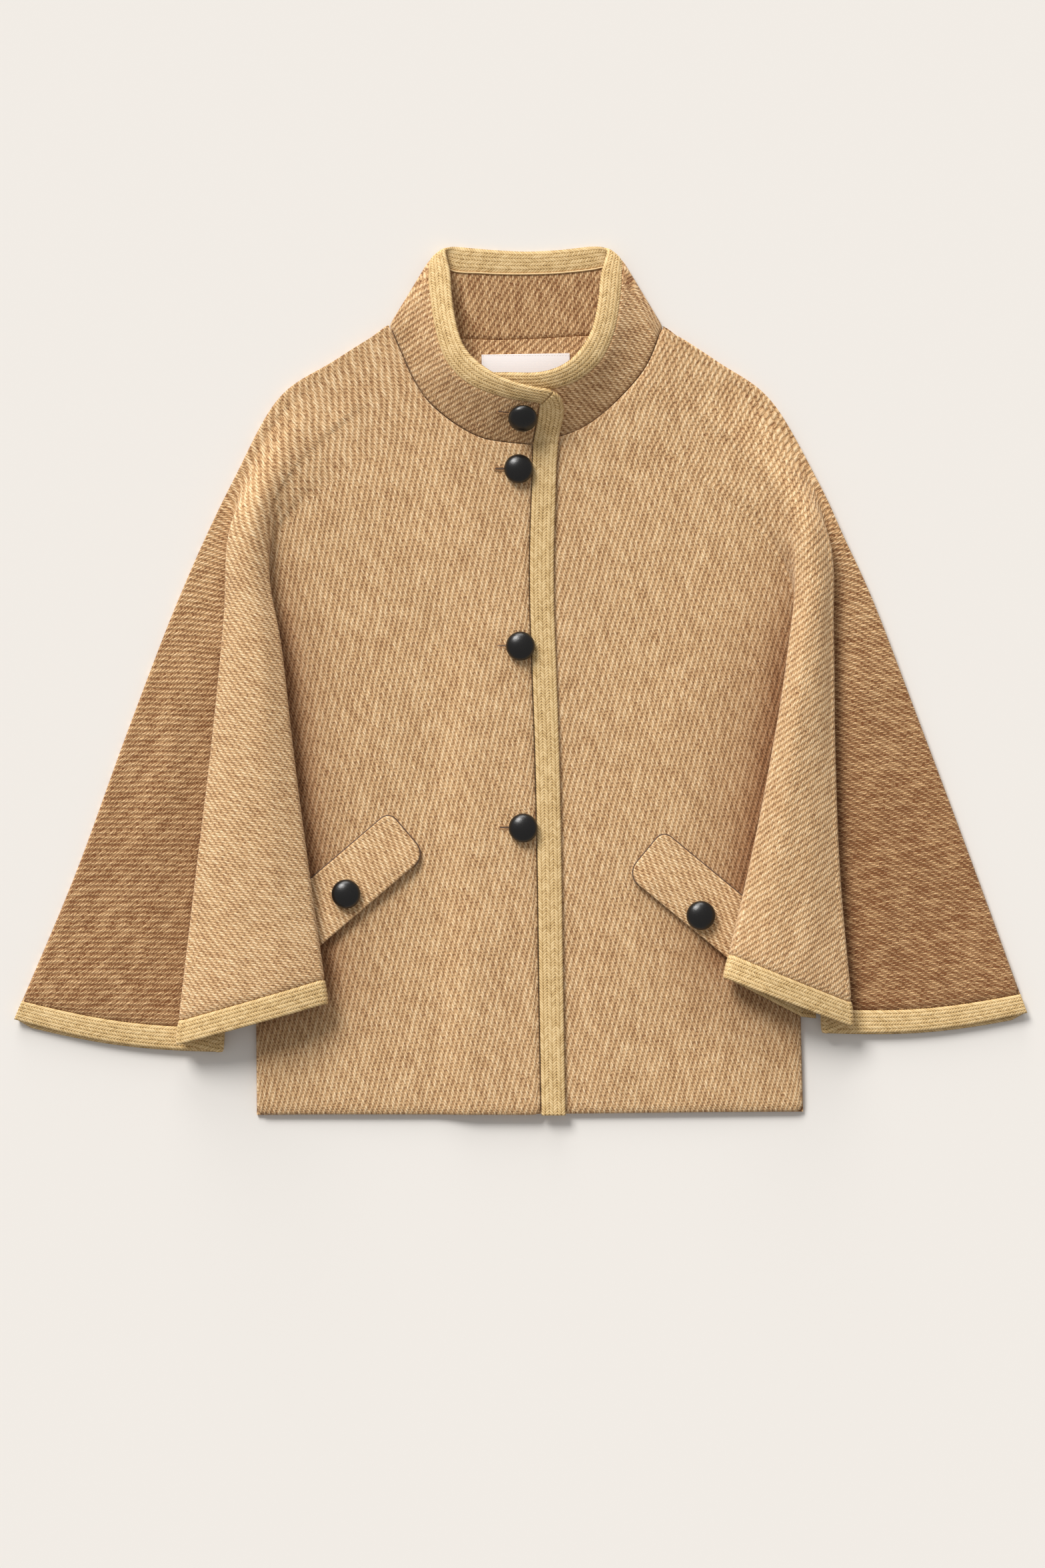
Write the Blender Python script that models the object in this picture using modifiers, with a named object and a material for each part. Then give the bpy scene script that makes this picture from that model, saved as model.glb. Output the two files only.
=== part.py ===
"""Wool cape jacket laid flat: two fronts cut in one with their cape sleeves, a back, a stand
collar, braid bindings, two pocket flaps, six domed buttons and a bare neck label.
The cape lies face up on the plane Z = 0, with its collar towards +Y."""
import math

import bpy
import bmesh
import numpy as np
from mathutils import Euler, Vector

# Driving dimensions, in millimetres
MM = 0.001
CLOTH = 3.0
BRAID = 3.6
SEAM_GAP = 0.3
NECK_GAP = 1.5
NECK_SIDE_DROP = 2.5
BACK_NECK_STEPS = 14
BRAID_WIDTH = 20.0
RIM_GAP_SHARE = 0.05
RIM_FOLD_GAP = 0.22
FOLD_SPREAD = 0.05
PLACKET_WIDTH = 21.0
FOLD_RADIUS = 3.3
BUTTON_DIAMETER = 25.4
BUTTON_HEIGHT = 11.0
FLAP_LENGTH = 138.0
FLAP_CORNER = 9.0
HEM_Y = -379.9

# Heights of the middle of the cloth above the floor, in millimetres
Z_FRONT = CLOTH + SEAM_GAP + CLOTH / 2
Z_LAYER = Z_FRONT + 2 * FOLD_RADIUS
Z_RETURN_TOP = Z_LAYER + 2.6
Z_LOBE = Z_RETURN_TOP + 2 * FOLD_RADIUS
LOBE_PUFF = 7.0
TUCK_SLOPE = 1.3
PLACKET_LIFT = 4.6
PLACKET_RISE_FROM, PLACKET_RISE_TO = -74.0, -43.0
NECK_LIFT = 2.4
HEM_LIFT = 1.2

# Places along a front, as shares of the way from the neck seam to the hem
T_FLAT, T_RAISED = 0.10, 0.31
T_ARMPIT = 0.46
U_SIDE, U_INNER, U_OUTER = 0.50, 0.67, 0.84

# The collar band, one row for each station from the wearer's right front end round the neck
# to the left front end: the neck seam, the edge of the cloth and the rim of the braid
# Columns: seam x, y, z, cloth x, y, z, rim x, y, z
COLLAR_STATIONS = [
    (10.5, 207.0, 9.4, 16.0, 240.0, 30.5, 17.0, 252.0, 39.0),
    (-12.0, 209.0, 9.4, -4.0, 242.5, 31.5, -2.0, 256.5, 39.5),
    (-32.0, 212.5, 9.4, -24.0, 247.5, 31.5, -18.0, 262.5, 39.0),
    (-54.0, 223.5, 8.2, -47.0, 257.5, 29.5, -34.0, 272.5, 36.5),
    (-77.0, 242.0, 6.4, -65.0, 277.0, 26.0, -49.0, 288.0, 33.0),
    (-91.5, 262.5, 6.8, -74.0, 303.0, 22.0, -56.0, 309.0, 28.0),
    (-102.5, 286.5, 6.6, -79.0, 332.0, 16.5, -60.0, 336.0, 20.0),
    (-109.5, 303.0, 7.2, -81.0, 353.0, 11.5, -62.0, 361.0, 13.0),
    (-112.5, 311.0, 4.6, -78.5, 366.0, 6.5, -67.0, 378.5, 7.0),
    (-104.0, 310.5, 1.9, -71.0, 363.5, 2.0, -61.0, 379.0, 2.7),
    (-80.0, 304.0, 1.6, -62.0, 359.0, 1.6, -54.0, 378.5, 2.35),
    (-40.0, 299.5, 1.5, -35.0, 356.5, 1.5, -32.0, 376.5, 2.15),
    (5.0, 299.5, 1.5, 5.0, 355.5, 1.5, 5.0, 374.5, 2.15),
    (48.0, 302.0, 1.5, 45.0, 357.5, 1.5, 41.0, 376.5, 2.15),
    (88.0, 305.0, 1.6, 71.0, 361.0, 1.6, 62.0, 379.0, 2.35),
    (112.0, 310.0, 1.9, 80.0, 363.5, 2.0, 70.0, 379.0, 2.7),
    (122.0, 310.0, 4.6, 88.0, 366.0, 6.5, 77.0, 378.0, 7.0),
    (119.5, 302.0, 7.2, 89.0, 353.0, 11.5, 71.0, 360.0, 13.0),
    (111.0, 280.0, 6.4, 87.0, 330.0, 16.0, 68.0, 333.0, 19.5),
    (94.5, 257.0, 6.2, 81.0, 300.0, 20.5, 62.0, 304.0, 26.0),
    (72.0, 235.0, 5.8, 70.0, 277.0, 23.5, 53.0, 288.0, 30.0),
    (50.0, 220.0, 5.4, 50.0, 260.0, 25.5, 40.0, 274.5, 32.35),
    (10.0, 209.5, 4.9, 16.0, 250.0, 26.5, 14.0, 266.0, 32.35),
    (-14.0, 210.8, 4.8, -8.0, 249.5, 24.5, -8.0, 266.5, 31.0),
    (-37.0, 212.3, 4.8, -29.0, 251.0, 23.0, -27.0, 266.5, 29.0),
]
RIGHT_SIDE_STATION = 8
LEFT_SIDE_STATION = 16

# The fold lines of a front, one row for each place down it: the front edge, the body side
# with the hidden valley above the armpit, the sleeve's underarm seam, the inner and outer
# edge of the raised lobe, the outline of the sleeve, and how far the pleat tucks under
FRONT_COLUMNS = ("t", "cf_x", "cf_y", "side_x", "side_y", "under_x", "under_y",
                 "in_x", "in_y", "out_x", "out_y", "edge_x", "edge_y", "tuck")
FRONT_RIGHT = [
    (0.00, 10.5, 207, -80.0, 246, -84.0, 250, -95.0, 268, -105.0, 290, -111.5, 311, -10),
    (0.08, 9.5, 165, -125.0, 214, -129.0, 218, -139.0, 236, -151.0, 260, -161.0, 279, -10),
    (0.16, 8.0, 118, -172.0, 180, -176.0, 184, -186.0, 200, -198.0, 224, -210.0, 247, -11),
    (0.24, 8.0, 70, -208.0, 143, -212.0, 147, -216.0, 156, -233.0, 171, -247.5, 180, -7),
    (0.34, 10.0, 10, -226.0, 92, -232.0, 96, -220.5, 96, -252.5, 130, -271.0, 134, 4),
    (0.46, 12.5, -63, -230.5, 38, -240.0, 44, -210.0, 33, -257.0, 58, -301.0, 66, 12),
    (0.62, 14.5, -158, -231.0, -95, -242.5, -60, -198.5, -66, -268.0, -56, -343.0, -43, 20),
    (0.80, 16.0, -265, -231.5, -235, -247.0, -170, -184.5, -172, -282.0, -172, -387.5, -165, 29),
    (1.00, 18.0, HEM_Y, -230.5, HEM_Y, -253.0, -276, -171.5, -262, -296.5, -297, -436.0, -281, 37),
]
FRONT_LEFT = [
    (0.00, -37.0, 211, 86.0, 247, 90.0, 251, 101.0, 268, 113.0, 290, 122.0, 310, -10),
    (0.08, -37.5, 165, 133.0, 220, 137.0, 224, 147.0, 240, 159.0, 262, 170.0, 278, -10),
    (0.16, -38.5, 118, 178.0, 184, 182.0, 188, 193.0, 203, 207.0, 226, 218.0, 244, -10),
    (0.24, -38.5, 70, 216.0, 142, 220.0, 146, 229.0, 155, 246.0, 168, 260.0, 171, -7),
    (0.34, -36.5, 10, 240.0, 88, 246.0, 92, 240.5, 97, 268.5, 120, 284.5, 121, 3),
    (0.46, -34.0, -63, 244.0, 18, 255.0, 28, 233.0, 18, 271.5, 45, 307.5, 71, 7),
    (0.62, -32.0, -158, 244.0, -105, 254.0, -70, 217.0, -80, 273.0, -62, 350.0, -40, 12),
    (0.80, -30.5, -265, 244.0, -240, 252.0, -170, 199.5, -166, 277.0, -166, 395.0, -160, 18),
    (1.00, -28.5, HEM_Y, 247.0, -377, 257.0, -275, 182.0, -240, 287.0, -281, 437.0, -275, 24),
]
TUCK_HEM_DROP = 10.0
OUTER_HEM_BOW = 6.0

# How many steps of the grid each stretch across a front has
BODY_STEPS = 9
RETURN_STEPS = 2
TOP_STEPS = 6
TUCK_STEPS = 2
OUTER_STEPS = 5
TURN_STEPS = 4
ROW_SHARES = (0.0, 0.04, 0.08, 0.12, 0.16, 0.20, 0.24, 0.275, 0.31, 0.35, 0.40, T_ARMPIT,
              0.50, 0.56, 0.63, 0.71, 0.79, 0.87, 0.94, 1.0)
ARMPIT_ROW = ROW_SHARES.index(T_ARMPIT)
SLIT_COLUMN = BODY_STEPS
INNER_APEX = BODY_STEPS + TURN_STEPS + RETURN_STEPS + TURN_STEPS // 2
LAST_PLEAT_COLUMN = (BODY_STEPS + TURN_STEPS + RETURN_STEPS + TURN_STEPS + TOP_STEPS + TURN_STEPS
                     + TUCK_STEPS + TURN_STEPS)

# Buttons: where the foot stands on the cloth
BUTTON_SPOTS = {
    "button_front_1": (-1.7, 184.0),
    "button_front_2": (0.0, 29.5),
    "button_front_3": (2.3, -129.0),
}
COLLAR_BUTTON_X, COLLAR_BUTTON_Y = 2.0, 230.0
FLAP_SPOTS = {
    "right": {"inner_end": (-98.5, -134.0), "angle": -139.5, "width": 50.0,
              "button_along": 74.8, "button_across": 5.1},
    "left": {"inner_end": (108.4, -150.7), "angle": -39.5, "width": 50.0,
             "button_along": 72.2, "button_across": -11.0},
}
LABEL_SIZE = (77.0, 25.0, 1.0)
LABEL_CENTRE = (4.6, 272.5)
LABEL_TURN = 1.0

COLOURS = {
    "wool": ((0.60, 0.35, 0.17, 1.0), 0.95),
    "braid": ((0.66, 0.48, 0.22, 1.0), 0.85),
    "button": ((0.012, 0.013, 0.012, 1.0), 0.35),
    "label": ((0.86, 0.80, 0.80, 1.0), 0.6),
}


def clear_scene():
    for thing in list(bpy.data.objects):
        bpy.data.objects.remove(thing, do_unlink=True)


def make_collection():
    cape = bpy.data.collections.new("wool_cape")
    bpy.context.scene.collection.children.link(cape)
    return cape


def material_for(name, kind):
    colour, roughness = COLOURS[kind]
    material = bpy.data.materials.new(name + "_" + kind)
    material.use_nodes = True
    shader = material.node_tree.nodes["Principled BSDF"]
    shader.inputs["Base Color"].default_value = colour
    shader.inputs["Roughness"].default_value = roughness
    shader.inputs["Metallic"].default_value = 0.0
    material.diffuse_color = colour
    return material


def smooth_step(low, high, value):
    share = np.clip((value - low) / (high - low), 0.0, 1.0)
    return share * share * (3.0 - 2.0 * share)


def through_points(knots, values, places):
    """A smooth curve through the values, read at the given places along the knots."""
    knots = np.asarray(knots, float)
    values = np.asarray(values, float)
    places = np.clip(np.asarray(places, float), knots[0], knots[-1])
    slopes = np.gradient(values, knots, axis=0)
    spans = np.clip(np.searchsorted(knots, places, side="right") - 1, 0, len(knots) - 2)
    width = knots[spans + 1] - knots[spans]
    s = (places - knots[spans]) / width
    if values.ndim == 2:
        s = s[:, None]
        width = width[:, None]
    start = values[spans] * (2 * s**3 - 3 * s**2 + 1) + slopes[spans] * width * (s**3 - 2 * s**2 + s)
    end = values[spans + 1] * (3 * s**2 - 2 * s**3) + slopes[spans + 1] * width * (s**3 - s**2)
    return start + end


def lengths_along(points):
    steps = np.linalg.norm(np.diff(points, axis=0), axis=1)
    return np.concatenate(([0.0], np.cumsum(steps)))


def collar_knots():
    """Where each station of the collar lies, as a share of the band's length."""
    along = lengths_along(np.array(COLLAR_STATIONS)[:, 3:6])
    return along / along[-1]


def neck_seam(first, last, shares):
    """Points of the neck seam between two stations of the collar."""
    knots = collar_knots()
    places = knots[first] + (knots[last] - knots[first]) * np.asarray(shares)
    return through_points(knots, np.array(COLLAR_STATIONS)[:, 0:3], places)


def turn_points(apex, outward, reach, z_before, z_after, depth):
    """Half a turn of the cloth about a fold line. A reach of -1 is an edge that points outward,
    and +1 one that points inward. Its outer half is always round. The half that leads to the
    neighbouring fold is round where the depth lets it overhang, and else a slope."""
    inner_radius = min(FOLD_RADIUS, abs(depth) / 2)
    overhang = min(max(depth, 0.0) / (2 * FOLD_RADIUS), 1.0)
    points = []
    for step in range(TURN_STEPS + 1):
        share = 2.0 * step / TURN_STEPS - 1.0
        angle = math.pi / 2 * share
        free_half = share * reach > 0
        if free_half:
            move = reach * FOLD_RADIUS * (1.0 - math.cos(angle))
            rise = math.sin(angle)
        else:
            side = 1 if depth > 0 else -1
            move = side * reach * inner_radius * (1.0 - math.cos(angle))
            rise = share + (math.sin(angle) - share) * overhang
        z = (z_before + z_after) / 2 + (z_after - z_before) / 2 * rise
        points.append(np.array([apex[0] + outward[0] * move, apex[1] + outward[1] * move, z]))
    return points


def between(start, end, steps, puff=0.0):
    """The points between two ends, raised in a smooth arch."""
    points = []
    for step in range(1, steps):
        share = step / steps
        point = start + (end - start) * share
        point[2] += puff * math.sin(math.pi * share) ** 0.8
        points.append(point)
    return points


def front_row(table, side, t):
    """One row of a front, from its front edge over the body, the lobe and the pleat to the outline."""
    numbers = np.array(table, float)
    row = {name: through_points(numbers[:, 0], numbers[:, i], [t])[0]
           for i, name in enumerate(FRONT_COLUMNS)}
    place = {name: np.array([row[name + "_x"], row[name + "_y"]])
             for name in ("cf", "side", "under", "in", "out", "edge")}
    outward = place["edge"] - place["in"]
    outward = outward / np.linalg.norm(outward)
    raised = float(smooth_step(T_FLAT, T_RAISED, t))
    valley = float(np.dot(place["side"] - place["in"], outward))
    hem_lift = HEM_LIFT * float(smooth_step(0.85, 1.0, t))
    z_base = Z_FRONT

    def lifted(z):
        return z_base + raised * (z - z_base)

    split = t > T_ARMPIT
    upper_lift = 2 * hem_lift
    inner = turn_points(place["in"], outward, 1, lifted(Z_RETURN_TOP) + upper_lift,
                        lifted(Z_LOBE) + upper_lift, valley)
    if split:
        body_end = np.array([*place["side"], z_base])
        rise = ((0.0, z_base + hem_lift), (3.0, z_base + 1.6), (7.0, z_base + 4.0), (13.0, Z_LAYER))
        valley_points = [body_end]
        for move, z in rise:
            valley_points.append(np.array([*(place["under"] - outward * move), z]))
    else:
        valley_points = turn_points(place["side"], outward, -1, z_base, lifted(Z_LAYER), valley)
    outer = turn_points(place["out"], outward, -1, lifted(Z_LOBE - 1.0) + upper_lift,
                        lifted(Z_LAYER + TUCK_SLOPE) + upper_lift, row["tuck"])
    tuck_place = place["out"] - outward * row["tuck"]
    tuck_place[1] -= TUCK_HEM_DROP * float(smooth_step(0.6, 1.0, t))
    tuck = turn_points(tuck_place, outward, 1, lifted(Z_LAYER - TUCK_SLOPE) + upper_lift,
                       z_base + hem_lift, row["tuck"])
    edge = np.array([*place["edge"], z_base + hem_lift])

    start = np.array([*place["cf"], z_base])
    points = [start] + between(start, valley_points[0], BODY_STEPS)
    points += valley_points
    points += between(valley_points[-1], inner[0], RETURN_STEPS)
    points += inner
    puff = LOBE_PUFF * raised
    points += between(inner[-1], outer[0], TOP_STEPS, puff)
    points += outer
    points += between(outer[-1], tuck[0], TUCK_STEPS)
    points += tuck
    sleeve_out = between(tuck[-1], edge, OUTER_STEPS)
    for step, point in enumerate(sleeve_out):
        share = (step + 1) / OUTER_STEPS
        point[1] -= OUTER_HEM_BOW * math.sin(math.pi * share) * float(smooth_step(0.5, 1.0, t))
    points += sleeve_out
    points.append(edge)
    points = np.array(points)

    if side == "right":
        points[:, 2] += PLACKET_LIFT * smooth_step(PLACKET_RISE_FROM, PLACKET_RISE_TO, points[:, 0])
    return points


def neck_shares():
    """How far along the neck seam each column of a front starts."""
    knots = [0, BODY_STEPS + TURN_STEPS // 2, INNER_APEX,
             LAST_PLEAT_COLUMN - TURN_STEPS - TUCK_STEPS - TURN_STEPS // 2, LAST_PLEAT_COLUMN + OUTER_STEPS]
    return np.interp(np.arange(LAST_PLEAT_COLUMN + OUTER_STEPS + 1), knots, [0, U_SIDE, U_INNER, U_OUTER, 1])


def front_rows(table, side):
    """All rows of a front, with the first on the neck seam."""
    rows = np.array([front_row(table, side, t) for t in ROW_SHARES])
    shares = neck_shares()
    if side == "right":
        target = neck_seam(0, RIGHT_SIDE_STATION, shares)
    else:
        target = neck_seam(len(COLLAR_STATIONS) - 1, LEFT_SIDE_STATION, shares)
    miss = target[:, :2] - rows[0][:, :2]
    for i, t in enumerate(ROW_SHARES):
        fade = (1.0 - min(t / 0.45, 1.0)) ** 2
        rows[i][:, :2] += miss * fade
        rows[i][:, 2] += NECK_LIFT * shares * (1.0 - smooth_step(0.0, 0.14, t))
    away = rows[1] - rows[0]
    away = away / np.linalg.norm(away, axis=1)[:, None]
    rows[0] += away * NECK_GAP
    return rows


def mesh_object(cape, name, kind, verts, faces, wall):
    """An open surface given its thickness, half on each side."""
    mesh = bpy.data.meshes.new(name)
    mesh.from_pydata([tuple(Vector(v) * MM) for v in verts], [], faces)
    mesh.validate()
    thing = bpy.data.objects.new(name, mesh)
    cape.objects.link(thing)
    tidy = bmesh.new()
    tidy.from_mesh(mesh)
    bmesh.ops.recalc_face_normals(tidy, faces=tidy.faces)
    if sum(face.normal.z * face.calc_area() for face in tidy.faces) < 0:
        bmesh.ops.reverse_faces(tidy, faces=tidy.faces)
    tidy.to_mesh(mesh)
    tidy.free()
    thicken = thing.modifiers.new("wall", "SOLIDIFY")
    thicken.thickness = wall * MM
    thicken.offset = 0.0
    thicken.use_even_offset = False
    mesh.materials.append(material_for(name, kind))
    mesh.shade_smooth()
    mesh.set_sharp_from_angle(angle=math.radians(50))
    return thing


def grid_faces(rows, columns, skip=None):
    faces = []
    for i in range(rows - 1):
        for j in range(columns - 1):
            if skip and skip(i, j):
                continue
            a = i * columns + j
            faces.append((a, a + 1, a + columns + 1, a + columns))
    return faces


def make_front(cape, name, rows):
    count, columns = rows.shape[0], rows.shape[1]
    faces = grid_faces(count, columns, lambda i, j: i >= ARMPIT_ROW and j == SLIT_COLUMN)
    return mesh_object(cape, name, "wool", rows.reshape(-1, 3), faces, CLOTH)


def hem_strip(rows, start, gap, width, edge_width):
    """Points that go on past the hem of the sleeve, one line at each edge of the braid."""
    last = rows[-1][start:]
    before = rows[-2][start:]
    down = last - before
    down[:, 2] = 0.0
    down = down / np.linalg.norm(down, axis=1)[:, None]
    share = np.linspace(0.0, 1.0, len(last))[:, None] ** 6
    reach = width * (1 - share) + edge_width * share
    return [last + down * gap, last + down * (gap + reach * 0.5), last + down * (gap + reach)]


def make_sleeve_braid(cape, name, rows):
    lines = hem_strip(rows, SLIT_COLUMN + 1, SEAM_GAP + 0.1, BRAID_WIDTH, BRAID_WIDTH - 4.0)
    grid = np.array(lines)
    faces = grid_faces(grid.shape[0], grid.shape[1])
    return mesh_object(cape, name, "braid", grid.reshape(-1, 3), faces, BRAID)


def back_sleeve_hem(rows):
    """The hem of the sleeve's back, from the outline in to the underarm seam, as x and y."""
    outer = rows[-1][LAST_PLEAT_COLUMN:, :2][::-1]
    under = rows[-1][SLIT_COLUMN + 1, :2]
    return [tuple(p) for p in outer], tuple(under)


def flat_outline(cape, name, kind, outline, bottom, thickness):
    """A flat piece cut to a closed outline."""
    curve = bpy.data.curves.new(name, "CURVE")
    curve.dimensions = "2D"
    curve.fill_mode = "BOTH"
    curve.extrude = thickness / 2 * MM
    spline = curve.splines.new("POLY")
    spline.points.add(len(outline) - 1)
    for point, (x, y) in zip(spline.points, outline):
        point.co = (x * MM, y * MM, 0.0, 1.0)
    spline.use_cyclic_u = True
    thing = bpy.data.objects.new(name, curve)
    thing.location = (0.0, 0.0, (bottom + thickness / 2) * MM)
    curve.materials.append(material_for(name, kind))
    cape.objects.link(thing)
    return thing


def make_back(cape, right_rows, left_rows):
    shares = np.linspace(0.0, 1.0, BACK_NECK_STEPS + 1)
    seam = neck_seam(RIGHT_SIDE_STATION, LEFT_SIDE_STATION, shares)
    drop = NECK_GAP + NECK_SIDE_DROP * np.abs(2 * shares - 1) ** 8
    outline = [(x, y) for x, y in zip(seam[1:-1, 0], (seam[:, 1] - drop)[1:-1])]
    for rows, order in ((left_rows, 1), (right_rows, -1)):
        silhouette = [tuple(p) for p in rows[1:, -1, :2]]
        hem, under = back_sleeve_hem(rows)
        underarm = [tuple(p) for p in rows[ARMPIT_ROW + 1:, SLIT_COLUMN + 1, :2]][::-1]
        body_side = [tuple(p) for p in rows[ARMPIT_ROW + 1:, SLIT_COLUMN, :2]]
        path = silhouette + hem[1:-1] + underarm + body_side
        if order == -1:
            path = path[::-1]
        outline += path
    return flat_outline(cape, "back", "wool", outline, 0.0, CLOTH)


def make_back_braid(cape, name, rows):
    hem, under = back_sleeve_hem(rows)
    line = np.array(hem)
    down = np.array([(0.25 if rows[-1, -1, 0] > 0 else -0.25, -1.0)])
    down = np.repeat(down, len(line), axis=0)
    down[1:, 0] *= np.linspace(0.7, 0.0, len(line) - 1)
    down = down / np.linalg.norm(down, axis=1)[:, None]
    reach = np.full((len(line), 1), BRAID_WIDTH)
    reach[0] = BRAID_WIDTH - 4.0
    upper = line + down * SEAM_GAP
    lower = line + down * (SEAM_GAP + reach)
    outline = [tuple(p) for p in upper] + [tuple(p) for p in lower[::-1]]
    return flat_outline(cape, name, "braid", outline, 0.0, BRAID)


def collar_grid(lines, count, start=0.0, end=1.0):
    """A band read from the stations: each line lies at a share of the cloth's or the braid's width."""
    stations = np.array(COLLAR_STATIONS)
    knots = collar_knots()
    places = np.linspace(start, end, count)
    seam = through_points(knots, stations[:, 0:3], places)
    cloth = through_points(knots, stations[:, 3:6], places)
    rim = through_points(knots, stations[:, 6:9], places)
    folds = knots[[RIGHT_SIDE_STATION, LEFT_SIDE_STATION]]
    grid = []
    for part, share in lines:
        if part == "cloth":
            grid.append(seam + (cloth - seam) * share)
        else:
            near = np.exp(-(np.min(np.abs(places[:, None] - folds), axis=1) / FOLD_SPREAD) ** 2)
            kept = share + RIM_FOLD_GAP * near * (1.0 - share)
            grid.append(cloth + (rim - cloth) * kept[:, None])
    return np.array(grid)


def make_collar(cape):
    count = 61
    grid = collar_grid([("cloth", s) for s in (0.0, 0.25, 0.5, 0.75, 1.0)], count)
    collar = mesh_object(cape, "collar", "wool", grid.reshape(-1, 3), grid_faces(5, count), CLOTH)
    rim = collar_grid([("rim", RIM_GAP_SHARE), ("rim", 0.5), ("rim", 1.0)], count)
    braid = mesh_object(cape, "collar_braid", "braid", rim.reshape(-1, 3), grid_faces(3, count), BRAID)
    return collar, braid


def make_placket_braid(cape, rows):
    """The braid on the front edge: up the front, over the end of the collar and round its corner."""
    inner, outer = [], []
    for row in rows:
        x, y, z = row[0]
        inner.append((x + SEAM_GAP, y, z))
        outer.append((x + SEAM_GAP + PLACKET_WIDTH, y, z))
    inner[0] = (10.9, 206.0, 9.4)
    outer[0] = (33.0, 208.0, 9.4)
    collar_end = [
        ((13.4, 219.0, 16.6), (35.5, 221.0, 15.0)),
        ((16.0, 233.0, 25.2), (37.5, 234.0, 22.0)),
        ((17.0, 241.0, 30.4), (35.5, 243.0, 28.5)),
        ((17.4, 246.5, 34.0), (30.0, 249.5, 34.5)),
        ((17.6, 251.8, 37.8), (22.5, 252.0, 37.6)),
    ]
    for inside, outside in collar_end:
        inner.insert(0, inside)
        outer.insert(0, outside)
    inner = np.array(inner)
    outer = np.array(outer)
    grid = np.array([inner, (inner + outer) / 2, outer])
    return mesh_object(cape, "placket_braid", "braid", grid.reshape(-1, 3),
                       grid_faces(3, len(inner)), BRAID)


def rounded_rectangle(length, width, corner, steps=4):
    points = []
    for cx, cy, turn in ((length - corner, width / 2 - corner, 0), (corner, width / 2 - corner, 90),
                         (corner, corner - width / 2, 180), (length - corner, corner - width / 2, 270)):
        for step in range(steps + 1):
            angle = math.radians(turn + 90 * step / steps)
            points.append((cx + corner * math.cos(angle), cy + corner * math.sin(angle)))
    return points


def make_flap(cape, wearer_side, spot):
    outline = rounded_rectangle(FLAP_LENGTH, spot["width"], FLAP_CORNER)
    angle = math.radians(spot["angle"])
    placed = [(spot["inner_end"][0] + x * math.cos(angle) - y * math.sin(angle),
               spot["inner_end"][1] + x * math.sin(angle) + y * math.cos(angle)) for x, y in outline]
    bottom = Z_FRONT + CLOTH / 2 + SEAM_GAP
    return flat_outline(cape, "flap_" + wearer_side, "wool", placed, bottom, CLOTH)


def make_button(cape, name, foot, tilt):
    """A domed button with a short foot, turned about its axis."""
    radius = BUTTON_DIAMETER / 2
    profile = [(0.0, BUTTON_HEIGHT), (0.30, 0.975), (0.56, 0.89), (0.78, 0.75), (0.93, 0.56),
               (1.0, 0.36), (0.93, 0.20), (0.70, 0.13), (0.36, 0.12), (0.32, 0.0), (0.0, 0.0)]
    points = [(0.0, BUTTON_HEIGHT)]
    for across, up in profile[1:]:
        points.append((across * radius, up * BUTTON_HEIGHT))
    mesh = bpy.data.meshes.new(name)
    edges = [(i, i + 1) for i in range(len(points) - 1)]
    mesh.from_pydata([(x * MM, 0.0, z * MM) for x, z in points], edges, [])
    thing = bpy.data.objects.new(name, mesh)
    turn = thing.modifiers.new("turn", "SCREW")
    turn.steps = 16
    turn.render_steps = 16
    turn.use_merge_vertices = True
    turn.merge_threshold = 0.00005
    turn.use_smooth_shade = True
    thing.location = Vector(foot) * MM
    thing.rotation_euler = Euler((tilt, 0.0, 0.0))
    mesh.materials.append(material_for(name, "button"))
    cape.objects.link(thing)
    return thing


def make_buttons(cape):
    top = Z_FRONT + PLACKET_LIFT + CLOTH / 2 + SEAM_GAP
    for name, (x, y) in BUTTON_SPOTS.items():
        make_button(cape, name, (x, y, top), 0.0)
    for side, spot in FLAP_SPOTS.items():
        angle = math.radians(spot["angle"])
        along, across = spot["button_along"], spot["button_across"]
        x = spot["inner_end"][0] + along * math.cos(angle) - across * math.sin(angle)
        y = spot["inner_end"][1] + along * math.sin(angle) + across * math.cos(angle)
        make_button(cape, "button_flap_" + side, (x, y, Z_FRONT + 1.5 * CLOTH + 2 * SEAM_GAP), 0.0)
    end = COLLAR_STATIONS[0]
    share = (COLLAR_BUTTON_Y - end[1]) / (end[4] - end[1])
    z = end[2] + (end[5] - end[2]) * share
    slope = math.atan2(end[5] - end[2], end[4] - end[1])
    lift = CLOTH / 2 + SEAM_GAP + 0.2
    foot = (COLLAR_BUTTON_X, COLLAR_BUTTON_Y - lift * math.sin(slope), z + lift * math.cos(slope))
    make_button(cape, "button_collar", foot, slope)


def make_label(cape):
    length, height, thickness = LABEL_SIZE
    angle = math.radians(LABEL_TURN)
    corners = ((-0.5, -0.5), (0.5, -0.5), (0.5, 0.5), (-0.5, 0.5))
    outline = []
    for cx, cy in corners:
        x, y = cx * length, cy * height
        outline.append((LABEL_CENTRE[0] + x * math.cos(angle) - y * math.sin(angle),
                        LABEL_CENTRE[1] + x * math.sin(angle) + y * math.cos(angle)))
    return flat_outline(cape, "label", "label", outline, CLOTH + SEAM_GAP, thickness)


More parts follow.
